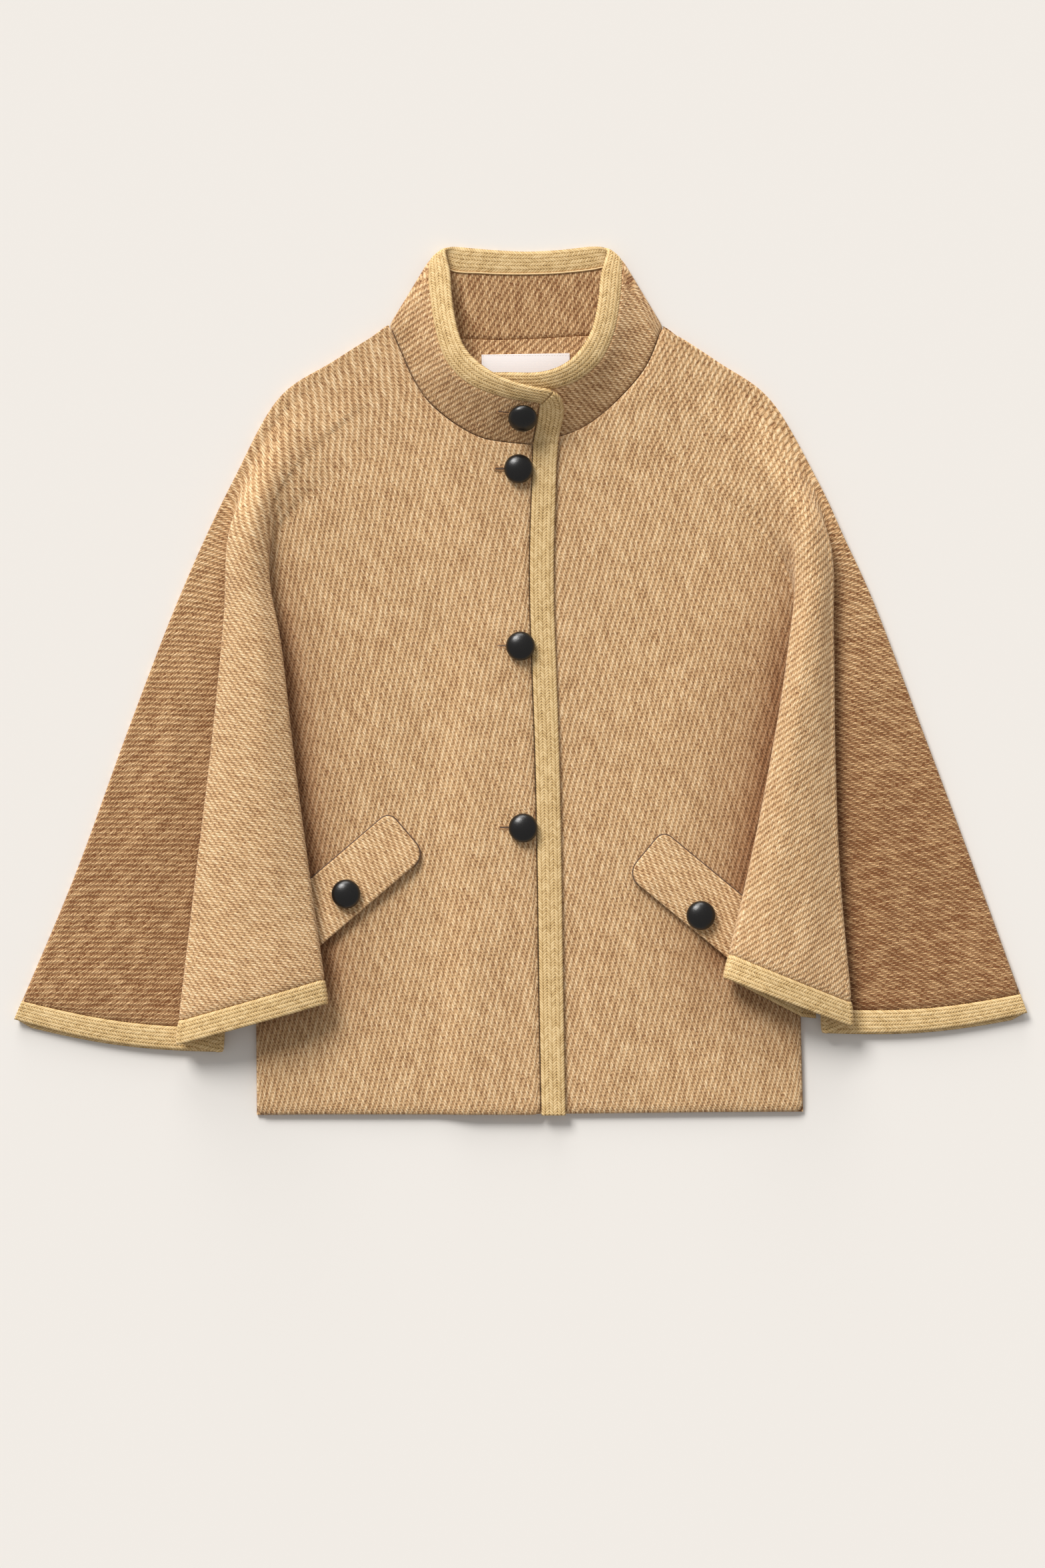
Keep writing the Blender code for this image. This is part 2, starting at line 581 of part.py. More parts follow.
def build():
    clear_scene()
    cape = make_collection()
    right_rows = front_rows(FRONT_RIGHT, "right")
    left_rows = front_rows(FRONT_LEFT, "left")
    make_front(cape, "front_right", right_rows)
    make_front(cape, "front_left", left_rows)
    make_sleeve_braid(cape, "sleeve_braid_right", right_rows)
    make_sleeve_braid(cape, "sleeve_braid_left", left_rows)
    make_back(cape, right_rows, left_rows)
    make_back_braid(cape, "sleeve_braid_back_right", right_rows)
    make_back_braid(cape, "sleeve_braid_back_left", left_rows)
    make_collar(cape)
    make_placket_braid(cape, right_rows)
    for side, spot in FLAP_SPOTS.items():
        make_flap(cape, side, spot)
    make_buttons(cape)
    make_label(cape)


build()
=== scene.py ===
# %% [markdown]
# # A wool cape laid flat
# This lesson dresses a cape jacket of thick tan wool. It has two fronts, each cut in one with
# a wide cape sleeve that is folded forward over the body, a back, a stand collar, a golden
# braid on every free edge, two slanted pocket flaps, six domed buttons and a bare neck label.
# The solids of the cape are loaded first. They give each piece its place and size.

# %% Load the solids
import math

import bpy
import numpy as np
from mathutils import Matrix, Vector


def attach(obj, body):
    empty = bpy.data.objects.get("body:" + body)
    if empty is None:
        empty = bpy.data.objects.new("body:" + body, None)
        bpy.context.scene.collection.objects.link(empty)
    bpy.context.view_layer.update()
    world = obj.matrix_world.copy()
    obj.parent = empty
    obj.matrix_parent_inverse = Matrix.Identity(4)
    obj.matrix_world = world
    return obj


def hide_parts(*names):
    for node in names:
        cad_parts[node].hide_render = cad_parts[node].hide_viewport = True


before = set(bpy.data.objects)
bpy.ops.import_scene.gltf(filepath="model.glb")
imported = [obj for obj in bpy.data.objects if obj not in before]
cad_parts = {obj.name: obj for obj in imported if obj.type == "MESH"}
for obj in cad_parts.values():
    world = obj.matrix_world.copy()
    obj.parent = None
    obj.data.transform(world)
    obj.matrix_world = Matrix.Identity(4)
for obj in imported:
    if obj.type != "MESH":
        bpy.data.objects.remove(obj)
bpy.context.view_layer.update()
bpy.ops.object.select_all(action="DESELECT")

# %% [markdown]
# ## Camera, floor and light
# The cape was photographed from straight above, so the camera looks down and the picture's
# upward direction is +Y. A long lens far away keeps the raised folds from leaning outwards.
# The picture is 1568 by 2352 pixels and one pixel is 0.583 mm on the floor.

# %% Camera
MM = 0.001
PIXEL = 0.583 * MM
PICTURE_HEIGHT = 2352 * PIXEL
CAMERA_HEIGHT = 4.0
PICTURE_MIDDLE = (0.0017, -0.0907)
SENSOR = 36.0
camera_data = bpy.data.cameras.new("camera")
camera_data.sensor_fit = "VERTICAL"
camera_data.sensor_height = SENSOR
camera_data.lens = SENSOR * CAMERA_HEIGHT / PICTURE_HEIGHT
camera = bpy.data.objects.new("camera", camera_data)
camera.location = (*PICTURE_MIDDLE, CAMERA_HEIGHT)
bpy.context.scene.collection.objects.link(camera)
bpy.context.scene.camera = camera
print("lens:", round(camera_data.lens, 2), "mm")


# %% [markdown]
# Every finish here is worked out by shader nodes. Nodes can be wired by hand in the editor.
# These helpers do the same in one line each, so that a material reads like a small sum.

# %% Helpers for material nodes
def start_material(name, roughness):
    """A new material with its Principled shader."""
    material = bpy.data.materials.new(name)
    material.use_nodes = True
    tree = material.node_tree
    shader = tree.nodes["Principled BSDF"]
    shader.inputs["Roughness"].default_value = roughness
    return material, tree, shader


def put(tree, kind, wires=None, **settings):
    """Add a node, set its options, and wire or fill its inputs."""
    made = tree.nodes.new(kind)
    for key, value in settings.items():
        setattr(made, key, value)
    for key, value in (wires or {}).items():
        if isinstance(value, bpy.types.NodeSocket):
            tree.links.new(value, made.inputs[key])
        else:
            made.inputs[key].default_value = value
    return made


def calc(tree, operation, a, b=0.0, c=0.0):
    """One step of arithmetic between sockets and numbers."""
    return put(tree, "ShaderNodeMath", {0: a, 1: b, 2: c}, operation=operation).outputs[0]


def noise(tree, where, scale, detail=2.0, roughness=0.5):
    """Soft random spots."""
    made = put(tree, "ShaderNodeTexNoise",
               {"Vector": where, "Scale": scale, "Detail": detail, "Roughness": roughness})
    return made.outputs


def ramp(tree, value, stops):
    """A colour for each value, from a list of places and colours."""
    made = put(tree, "ShaderNodeValToRGB", {0: value})
    band = made.color_ramp
    while len(band.elements) < len(stops):
        band.elements.new(0.5)
    for element, (place, colour) in zip(band.elements, stops):
        element.position = place
        element.color = (*colour, 1.0)
    return made.outputs["Color"]


def bump(tree, shader, height, strength, distance):
    """A relief that only the light sees."""
    wires = {"Height": height, "Strength": strength, "Distance": distance}
    tree.links.new(put(tree, "ShaderNodeBump", wires).outputs["Normal"], shader.inputs["Normal"])


def add_sheen(shader, weight, roughness, tint=(1.0, 1.0, 1.0)):
    """The soft glow of loose fibres at a glancing angle."""
    shader.inputs["Sheen Weight"].default_value = weight
    shader.inputs["Sheen Roughness"].default_value = roughness
    shader.inputs["Sheen Tint"].default_value = (*tint, 1.0)


# %% [markdown]
# The cape lies on plain pale paper. A large plane is enough, a hair below the cloth.

# %% Floor
FLOOR_DROP = 0.5 * MM
FLOOR_SIZE = 14.0
FLOOR_COLOUR = (0.793, 0.765, 0.733, 1.0)
bpy.ops.mesh.primitive_plane_add(size=FLOOR_SIZE, location=(0.0, 0.0, -FLOOR_DROP))
floor = bpy.context.object
floor.name = "floor"
floor_paint, _, floor_shader = start_material("pale_floor", 0.9)
floor_shader.inputs["Base Color"].default_value = FLOOR_COLOUR
floor_shader.inputs["Specular IOR Level"].default_value = 0.1
floor.data.materials.append(floor_paint)
print("floor:", FLOOR_SIZE, "m wide")

# %% [markdown]
# The light comes from the upper left, and from all round. Lamps with an area would light the
# large floor unevenly, so two wide suns are used: one for the soft shadows, and one very low
# over the cloth to bring out its ribs. The room's own pale light fills the folds.


# %% Lights
LAMP_COLOUR = (1.0, 0.985, 0.96)
ROOM_COLOUR = (1.0, 0.985, 0.965, 1.0)
ROOM_STRENGTH = 0.40
LAMP_DISTANCE = 4.0
# Each sun: its direction and height in degrees, how wide it is in degrees, and its strength
SUNS = {
    "key_light": (120.0, 36.0, 24.0, 3.16),
    "low_light": (96.0, 16.0, 30.0, 1.4),
}


def soft_sun(name, azimuth, elevation, angle, strength):
    """A wide sun. It lights the whole floor evenly, and its angle sets how soft the shadows are."""
    data = bpy.data.lights.new(name, "SUN")
    data.angle = math.radians(angle)
    data.energy = strength
    data.color = LAMP_COLOUR
    lamp = bpy.data.objects.new(name, data)
    turn, tip = math.radians(azimuth), math.radians(elevation)
    towards = Vector((math.cos(turn) * math.cos(tip), math.sin(turn) * math.cos(tip), math.sin(tip)))
    lamp.location = towards * LAMP_DISTANCE
    lamp.rotation_euler = (-towards).to_track_quat("-Z", "Y").to_euler()
    bpy.context.scene.collection.objects.link(lamp)


for name, row in SUNS.items():
    soft_sun(name, *row)
world = bpy.data.worlds.new("soft_room")
world.use_nodes = True
room_light = world.node_tree.nodes["Background"].inputs
room_light["Color"].default_value = ROOM_COLOUR
room_light["Strength"].default_value = ROOM_STRENGTH
bpy.context.scene.world = world
bpy.context.scene.view_settings.view_transform = "Standard"
print("lamps:", len(SUNS), "and a soft room")

# %% [markdown]
# ## The wool
# The cloth is a thick, slightly felted twill. Short pale floats of yarn lie side by side and
# step along in ribs, with red-brown specks between them. A woven pattern could be painted by
# hand, but it would blur close up. Here each float is worked out from the cloth's own UV map,
# in millimetres: rows across the floats, and a shift from row to row that makes the ribs.
# Two attributes of the mesh help: one opens the weave and darkens it, partly as painted shade,
# and one paints shade on the cloth beside and under the folded lobes.

# %% Wool material
FLOAT_LENGTH = 9.0
FLOAT_ROW = 1.55
FLOAT_SHIFT = 0.30
SPECK = (0.175, 0.060, 0.018)
TAN = (0.66, 0.405, 0.195)
CREAM = (0.97, 0.76, 0.49)
PAINTED_FOLD_SHADE = (0.46, 0.33, 0.27)
WOOL_SHEEN = (1.0, 0.82, 0.62)
# The shifts that keep the rows from running straight: their scale, detail and reach
WANDERS = [(0.07, 2.0, 2.4), (0.45, 1.0, 1.5)]
# How much each feature of the yarn lightens it; where the weave is open, its tone is below
# zero and darkens the cloth, partly as painted shade
BASE_TONE, FLOAT_TONE, LUCK_TONE, WEFT_TONE = 0.07, 0.50, 0.26, 0.42
FIBRE_TONE, CLOUD_TONE, OPEN_SHADE_TONE = 1.4, 0.14, -0.11


def off_middle(tree, place, power):
    """How far a place is from the middle of its cell: 0 there, and 1 at the cell's edge."""
    off = calc(tree, "ABSOLUTE", calc(tree, "MULTIPLY_ADD", calc(tree, "FRACT", place), 2.0, -1.0))
    return calc(tree, "POWER", off, power)


def wander(tree, where, scale, detail, reach):
    """A soft random shift of a place, up to about half the reach each way."""
    spots = noise(tree, where, scale, detail)["Color"]
    level = put(tree, "ShaderNodeVectorMath", {0: spots, 1: (-0.5, -0.5, -0.5)}, operation="ADD").outputs[0]
    return put(tree, "ShaderNodeVectorMath", {0: level, "Scale": reach}, operation="SCALE").outputs[0]


def swing(tree, value, amount):
    """A value from 0 to 1, made to swing by the amount about zero."""
    return calc(tree, "MULTIPLY_ADD", value, amount, -amount / 2)


def random_each(tree, column, row):
    """A random number for each cell."""
    cell = put(tree, "ShaderNodeCombineXYZ", {"X": column, "Y": row}).outputs[0]
    return put(tree, "ShaderNodeTexWhiteNoise", {"Vector": cell}, noise_dimensions="2D").outputs["Value"]


def make_wool(name, shadow, middle, light):
    """Twill from its three yarn colours."""
    material, tree, shader = start_material(name, 0.93)
    uv = put(tree, "ShaderNodeUVMap", uv_map="weave").outputs["UV"]
    where = put(tree, "ShaderNodeVectorMath", {0: uv, "Scale": 1000.0}, operation="SCALE").outputs[0]
    moved = where
    for scale, detail, reach in WANDERS:
        shift = wander(tree, where, scale, detail, reach)
        moved = put(tree, "ShaderNodeVectorMath", {0: moved, 1: shift}, operation="ADD").outputs[0]
    parts = put(tree, "ShaderNodeSeparateXYZ", {0: moved}).outputs
    row_place = calc(tree, "DIVIDE", parts["Y"], FLOAT_ROW)
    row = calc(tree, "FLOOR", row_place)
    cell_place = calc(tree, "MULTIPLY_ADD", row, FLOAT_SHIFT, calc(tree, "DIVIDE", parts["X"], FLOAT_LENGTH))
    opened_and_shaded = put(tree, "ShaderNodeAttribute", attribute_name="open_weave_and_shade").outputs["Fac"]

    # The long floats lie on top, and the weft shows between their ends
    off_cell = off_middle(tree, cell_place, 2.0)
    edges = calc(tree, "ADD", calc(tree, "MULTIPLY", off_middle(tree, row_place, 2.0), 0.62),
                 calc(tree, "MULTIPLY", off_cell, 2.15))
    rounding = calc(tree, "SUBTRACT", calc(tree, "MULTIPLY_ADD", opened_and_shaded, -0.42, 1.12), edges)
    float_top = calc(tree, "MAXIMUM", rounding, 0.0)
    between_rows = off_middle(tree, calc(tree, "ADD", row_place, 0.5), 2.0)
    weft = calc(tree, "SUBTRACT", calc(tree, "MULTIPLY_ADD", off_cell, 0.95, -0.15),
                calc(tree, "MULTIPLY", between_rows, 0.9))
    weft = calc(tree, "MAXIMUM", calc(tree, "MULTIPLY_ADD", opened_and_shaded, -0.45, weft), 0.0)

    fibre = noise(tree, where, 1.6, 3.0, 0.7)["Fac"]
    cloudy = noise(tree, where, 0.035, 3.0, 0.6)["Fac"]
    luck = random_each(tree, calc(tree, "FLOOR", cell_place), row)
    tone = calc(tree, "MULTIPLY_ADD", float_top, FLOAT_TONE, BASE_TONE)
    for feature, amount in ((luck, LUCK_TONE), (weft, WEFT_TONE)):
        tone = calc(tree, "MULTIPLY_ADD", feature, amount, tone)
    for feature, amount in ((fibre, FIBRE_TONE), (cloudy, CLOUD_TONE)):
        tone = calc(tree, "ADD", tone, swing(tree, feature, amount))
    # Partly painted shade: where the weave opens, the cloth is also darkened
    tone = calc(tree, "MULTIPLY_ADD", opened_and_shaded, OPEN_SHADE_TONE, tone)
    colour = ramp(tree, tone, [(0.02, shadow), (0.46, middle), (0.98, light)])
    # Painted shade: an attribute darkens the cloth beside and under the folded lobes, where their shadow
    # falls
    painted_shade = put(tree, "ShaderNodeAttribute", attribute_name="painted_fold_shade").outputs["Fac"]
    shade = ramp(tree, painted_shade, [(0.0, (1.0, 1.0, 1.0)), (1.0, PAINTED_FOLD_SHADE)])
    colour = put(tree, "ShaderNodeVectorMath", {0: colour, 1: shade}, operation="MULTIPLY").outputs[0]
    tree.links.new(colour, shader.inputs["Base Color"])

    height = calc(tree, "MULTIPLY_ADD", fibre, 0.35, calc(tree, "POWER", float_top, 0.7))
    height = calc(tree, "MULTIPLY_ADD", weft, 0.45, height)
    bump(tree, shader, height, 0.95, 0.7 * MM)
    shader.inputs["Specular IOR Level"].default_value = 0.12
    add_sheen(shader, 0.35, 0.55, WOOL_SHEEN)
    return material


wool = make_wool("tan_wool", SPECK, TAN, CREAM)
print("wool nodes:", len(wool.node_tree.nodes))

# %% [markdown]
# ## The braid
# The braid is a flat plait of golden yarn. Its strands cross from row to row, so it shows
# chevrons with dark grooves. Its relief is modelled in the mesh, and the material darkens the
# same grooves, so that it reads the same plait from the strip's own UV map.

# %% Braid material
PLAIT_ROWS = 6
PLAIT_PITCH = 2.5
PLAIT_LEAN = 1.35
GROOVE = (0.085, 0.040, 0.013)
GOLD = (0.55, 0.35, 0.135)
PALE_GOLD = (0.82, 0.61, 0.325)
BRAID_SHEEN = (1.0, 0.9, 0.7)


def make_braid_material(name, groove, middle, light):
    """Plaited yarn. The UV map runs along the strip in metres, and across it from 0 to 1."""
    material, tree, shader = start_material(name, 0.72)
    uv = put(tree, "ShaderNodeUVMap", uv_map="weave").outputs["UV"]
    parts = put(tree, "ShaderNodeSeparateXYZ", {0: uv}).outputs
    row_place = calc(tree, "MULTIPLY", parts["Y"], float(PLAIT_ROWS))
    row = calc(tree, "FLOOR", row_place)
    in_row = calc(tree, "MULTIPLY_ADD", calc(tree, "FRACT", row_place), 2.0, -1.0)
    way = calc(tree, "MULTIPLY_ADD", calc(tree, "MODULO", row, 2.0), 2.0, -1.0)
    lean = calc(tree, "MULTIPLY", calc(tree, "MULTIPLY", in_row, way), PLAIT_LEAN * 0.5)
    place = calc(tree, "MULTIPLY_ADD", parts["X"], 1000.0 / PLAIT_PITCH, lean)
    edges = calc(tree, "ADD", calc(tree, "MULTIPLY", off_middle(tree, place, 2.4), 0.62),
                 calc(tree, "MULTIPLY", off_middle(tree, row_place, 3.0), 0.55))
    top = calc(tree, "SUBTRACT", 1.0, edges)
    solid = put(tree, "ShaderNodeTexCoord").outputs["Object"]
    fibre = noise(tree, solid, 1500.0, 3.0, 0.65)["Fac"]
    blotch = noise(tree, solid, 90.0, 2.0, 0.5)["Fac"]
    luck = random_each(tree, calc(tree, "FLOOR", place), row)
    tone = calc(tree, "MULTIPLY_ADD", luck, 0.34, calc(tree, "MULTIPLY_ADD", top, 0.78, -0.12))
    for feature, amount in ((fibre, 0.6), (blotch, 0.4)):
        tone = calc(tree, "ADD", tone, swing(tree, feature, amount))
    colour = ramp(tree, tone, [(0.02, groove), (0.36, middle), (0.95, light)])
    tree.links.new(colour, shader.inputs["Base Color"])
    bump(tree, shader, calc(tree, "ADD", top, fibre), 0.5, 0.6 * MM)
    shader.inputs["Specular IOR Level"].default_value = 0.3
    add_sheen(shader, 0.25, 0.4, BRAID_SHEEN)
    return material


braid = make_braid_material("golden_braid", GROOVE, GOLD, PALE_GOLD)
print("braid nodes:", len(braid.node_tree.nodes))

# %% [markdown]
# ## Leather, satin and thread
# The buttons are covered in black leather, whose fine cells come from a Voronoi texture. The
# label is a satin tape, and the threads are the same smooth yarn in other colours. The darkest
# thread is painted shadow, laid where the slits and seams lie in shade.


# %% Button, label and thread materials
def make_leather(name):
    """Black grained leather with a soft gloss."""
    material, tree, shader = start_material(name, 0.4)
    where = put(tree, "ShaderNodeTexCoord").outputs["Object"]
    cells = put(tree, "ShaderNodeTexVoronoi", {"Vector": where, "Scale": 900.0}).outputs["Distance"]
    fine = noise(tree, where, 2200.0, 2.0)["Fac"]
    tone = calc(tree, "MULTIPLY_ADD", fine, 0.5, calc(tree, "MULTIPLY", cells, 0.5))
    colour = ramp(tree, tone, [(0.1, (0.002, 0.002, 0.002)), (0.9, (0.007, 0.006, 0.006))])
    tree.links.new(colour, shader.inputs["Base Color"])
    bump(tree, shader, calc(tree, "ADD", cells, fine), 0.16, 0.2 * MM)
    worn = ramp(tree, fine, [(0.2, (0.24, 0.24, 0.24)), (0.8, (0.36, 0.36, 0.36))])
    tree.links.new(worn, shader.inputs["Roughness"])
    shader.inputs["Specular IOR Level"].default_value = 0.5
    return material


def make_satin(name, low, high):
    """A tight smooth yarn between two colours."""
    material, tree, shader = start_material(name, 0.5)
    where = put(tree, "ShaderNodeTexCoord").outputs["Object"]
    lines = put(tree, "ShaderNodeTexWave", {"Vector": where, "Scale": 330.0, "Distortion": 0.6},
                wave_type="BANDS", bands_direction="Y").outputs["Fac"]
    fine = noise(tree, where, 900.0, 2.0)["Fac"]
    tone = calc(tree, "MULTIPLY_ADD", fine, 0.6, calc(tree, "MULTIPLY", lines, 0.4))
    tree.links.new(ramp(tree, tone, [(0.1, low), (0.9, high)]), shader.inputs["Base Color"])
    bump(tree, shader, tone, 0.25, 0.2 * MM)
    add_sheen(shader, 0.3, 0.3)
    return material


leather = make_leather("black_leather")
satin = make_satin("bare_satin", (0.80, 0.755, 0.745), (0.86, 0.82, 0.81))
thread = make_satin("tan_thread", (0.34, 0.17, 0.07), (0.52, 0.29, 0.13))
# Painted shadow: this near-black thread fills the buttonhole slits and the cracks along the flaps' seams
shadow_thread = make_satin("painted_shadow_thread", (0.055, 0.026, 0.012), (0.12, 0.06, 0.03))
golden_thread = make_satin("golden_thread", (0.55, 0.35, 0.14), (0.82, 0.61, 0.33))
print("finishes:", len(bpy.data.materials))

# %% [markdown]
# ## The cut and the fold lines
# The cape lies on the floor with its back underneath. Each front starts at the front edge,
# runs over the body, folds back over a raised lobe, tucks under once more and ends at the
# outline of the sleeve. The tables repeat the solids' own fold lines, so the dressed cloth
# follows them, only with finer steps. All places are in millimetres.

# %% Sizes and fold lines
CLOTH = 3.0
BRAID = 3.6
SEAM_GAP = 0.3
NECK_GAP = 1.5
NECK_SIDE_DROP = 2.5
BRAID_WIDTH = 20.0
RIM_FOLD_GAP = 0.02
FOLD_SPREAD = 0.05
PLACKET_WIDTH = 21.0
FOLD_RADIUS = 3.3
BUTTON_DIAMETER = 25.4
BUTTON_HEIGHT = 11.0
FLAP_LENGTH = 138.0
FLAP_CORNER = 9.0
HEM_Y = -379.9

Z_FRONT = CLOTH + SEAM_GAP + CLOTH / 2
Z_LAYER = Z_FRONT + 2 * FOLD_RADIUS
Z_RETURN_TOP = Z_LAYER + 2.6
Z_LOBE = Z_RETURN_TOP + 2 * FOLD_RADIUS
LOBE_PUFF = 7.0
TUCK_SLOPE = 1.3
PLACKET_LIFT = 4.6
PLACKET_RISE_FROM, PLACKET_RISE_TO = -74.0, -43.0
NECK_LIFT = 2.4
HEM_LIFT = 1.2

# Places along a front, as shares of the way from the neck seam to the hem
T_FLAT, T_RAISED = 0.10, 0.31
T_ARMPIT = 0.46
U_SIDE, U_INNER, U_OUTER = 0.50, 0.67, 0.84

# The collar band, one row for each station from the wearer's right front end round the neck
# to the left front end: the neck seam, the edge of the cloth and the rim of the braid
# Columns: seam x, y, z, cloth x, y, z, rim x, y, z
COLLAR_STATIONS = [
    (10.5, 207.0, 9.4, 16.0, 240.0, 30.5, 17.0, 252.0, 39.0),
    (-12.0, 209.0, 9.4, -4.0, 242.5, 31.5, -2.0, 256.5, 39.5),
    (-32.0, 212.5, 9.4, -24.0, 247.5, 31.5, -18.0, 262.5, 39.0),
    (-54.0, 223.5, 8.2, -47.0, 257.5, 29.5, -34.0, 272.5, 36.5),
    (-77.0, 242.0, 6.4, -65.0, 277.0, 26.0, -49.0, 288.0, 33.0),
    (-91.5, 262.5, 6.8, -74.0, 303.0, 22.0, -56.0, 309.0, 28.0),
    (-102.5, 286.5, 6.6, -79.0, 332.0, 16.5, -60.0, 336.0, 20.0),
    (-109.5, 303.0, 7.2, -81.0, 353.0, 11.5, -62.0, 361.0, 13.0),
    (-112.5, 311.0, 4.6, -78.5, 366.0, 6.5, -67.0, 378.5, 7.0),
    (-104.0, 310.5, 1.9, -71.0, 363.5, 2.0, -61.0, 379.0, 2.7),
    (-80.0, 304.0, 1.6, -62.0, 359.0, 1.6, -54.0, 378.5, 2.35),
    (-40.0, 299.5, 1.5, -35.0, 356.5, 1.5, -32.0, 376.5, 2.15),
    (5.0, 299.5, 1.5, 5.0, 355.5, 1.5, 5.0, 374.5, 2.15),
    (48.0, 302.0, 1.5, 45.0, 357.5, 1.5, 41.0, 376.5, 2.15),
    (88.0, 305.0, 1.6, 71.0, 361.0, 1.6, 62.0, 379.0, 2.35),
    (112.0, 310.0, 1.9, 80.0, 363.5, 2.0, 70.0, 379.0, 2.7),
    (122.0, 310.0, 4.6, 88.0, 366.0, 6.5, 77.0, 378.0, 7.0),
    (119.5, 302.0, 7.2, 89.0, 353.0, 11.5, 71.0, 360.0, 13.0),
    (111.0, 280.0, 6.4, 87.0, 330.0, 16.0, 68.0, 333.0, 19.5),
    (94.5, 257.0, 6.2, 81.0, 300.0, 20.5, 62.0, 304.0, 26.0),
    (72.0, 235.0, 5.8, 70.0, 277.0, 23.5, 53.0, 288.0, 30.0),
    (50.0, 220.0, 5.4, 50.0, 260.0, 25.5, 40.0, 274.5, 32.35),
    (10.0, 209.5, 4.9, 16.0, 250.0, 26.5, 14.0, 266.0, 32.35),
    (-14.0, 210.8, 4.8, -8.0, 249.5, 24.5, -8.0, 266.5, 31.0),
    (-37.0, 212.3, 4.8, -29.0, 251.0, 23.0, -27.0, 266.5, 29.0),
]
RIGHT_SIDE_STATION = 8
LEFT_SIDE_STATION = 16

# The fold lines of a front, one row for each place down it: the front edge, the body side
# with the hidden valley above the armpit, the sleeve's underarm seam, the inner and outer
# edge of the raised lobe, the outline of the sleeve, and how far the pleat tucks under
FRONT_COLUMNS = ("t", "cf_x", "cf_y", "side_x", "side_y", "under_x", "under_y",
                 "in_x", "in_y", "out_x", "out_y", "edge_x", "edge_y", "tuck")
FRONT_RIGHT = [
    (0.00, 10.5, 207, -80.0, 246, -84.0, 250, -95.0, 268, -105.0, 290, -111.5, 311, -10),
    (0.08, 9.5, 165, -125.0, 214, -129.0, 218, -139.0, 236, -151.0, 260, -161.0, 279, -10),
    (0.16, 8.0, 118, -172.0, 180, -176.0, 184, -186.0, 200, -198.0, 224, -210.0, 247, -11),
    (0.24, 8.0, 70, -208.0, 143, -212.0, 147, -216.0, 156, -233.0, 171, -247.5, 180, -7),
    (0.34, 10.0, 10, -226.0, 92, -232.0, 96, -220.5, 96, -252.5, 130, -271.0, 134, 4),
    (0.46, 12.5, -63, -230.5, 38, -240.0, 44, -210.0, 33, -257.0, 58, -301.0, 66, 12),
    (0.62, 14.5, -158, -231.0, -95, -242.5, -60, -198.5, -66, -268.0, -56, -343.0, -43, 20),
    (0.80, 16.0, -265, -231.5, -235, -247.0, -170, -184.5, -172, -282.0, -172, -387.5, -165, 29),
    (1.00, 18.0, HEM_Y, -230.5, HEM_Y, -253.0, -276, -171.5, -262, -296.5, -297, -436.0, -281, 37),
]
FRONT_LEFT = [
    (0.00, -37.0, 211, 86.0, 247, 90.0, 251, 101.0, 268, 113.0, 290, 122.0, 310, -10),
    (0.08, -37.5, 165, 133.0, 220, 137.0, 224, 147.0, 240, 159.0, 262, 170.0, 278, -10),
    (0.16, -38.5, 118, 178.0, 184, 182.0, 188, 193.0, 203, 207.0, 226, 218.0, 244, -10),
    (0.24, -38.5, 70, 216.0, 142, 220.0, 146, 229.0, 155, 246.0, 168, 260.0, 171, -7),
    (0.34, -36.5, 10, 240.0, 88, 246.0, 92, 240.5, 97, 268.5, 120, 284.5, 121, 3),
    (0.46, -34.0, -63, 244.0, 18, 255.0, 28, 233.0, 18, 271.5, 45, 307.5, 71, 7),
    (0.62, -32.0, -158, 244.0, -105, 254.0, -70, 217.0, -80, 273.0, -62, 350.0, -40, 12),
    (0.80, -30.5, -265, 244.0, -240, 252.0, -170, 199.5, -166, 277.0, -166, 395.0, -160, 18),
    (1.00, -28.5, HEM_Y, 247.0, -377, 257.0, -275, 182.0, -240, 287.0, -281, 437.0, -275, 24),
]
TUCK_HEM_DROP = 10.0
OUTER_HEM_BOW = 6.0

# %% [markdown]
# The grid of a front gets more columns where the cloth turns, and more rows than the tables.
# A subdivision of the whole sheet could do the same, but it would waste faces on the flat parts.

# %% Steps of the finer grid
BODY_STEPS = 26
RETURN_STEPS = 4
TOP_STEPS = 14
TUCK_STEPS = 3
OUTER_STEPS = 15
TURN_STEPS = 8
COARSE_SHARES = (0.0, 0.04, 0.08, 0.12, 0.16, 0.20, 0.24, 0.275, 0.31, 0.35, 0.40, T_ARMPIT,
                 0.50, 0.56, 0.63, 0.71, 0.79, 0.87, 0.94, 1.0)
ROWS_BETWEEN = 3
ROW_SHARES = tuple(np.interp(np.arange((len(COARSE_SHARES) - 1) * ROWS_BETWEEN + 1) / ROWS_BETWEEN,
                             np.arange(len(COARSE_SHARES)), COARSE_SHARES))
ARMPIT_ROW = COARSE_SHARES.index(T_ARMPIT) * ROWS_BETWEEN
SLIT_COLUMN = BODY_STEPS
INNER_APEX = BODY_STEPS + TURN_STEPS + RETURN_STEPS + TURN_STEPS // 2
LAST_PLEAT_COLUMN = (BODY_STEPS + TURN_STEPS + RETURN_STEPS + TURN_STEPS + TOP_STEPS + TURN_STEPS
                     + TUCK_STEPS + TURN_STEPS)
print("rows of a front:", len(ROW_SHARES), "columns:", LAST_PLEAT_COLUMN + OUTER_STEPS + 1)


# %% [markdown]
# Between the rows of the tables the fold lines run in smooth curves. A spline object could be
# drawn for each line, but a small function gives every place at once.

# %% Curves through the tables
def smooth_step(low, high, value):
    """A soft step from 0 at low to 1 at high."""
    share = np.clip((value - low) / (high - low), 0.0, 1.0)
    return share * share * (3.0 - 2.0 * share)


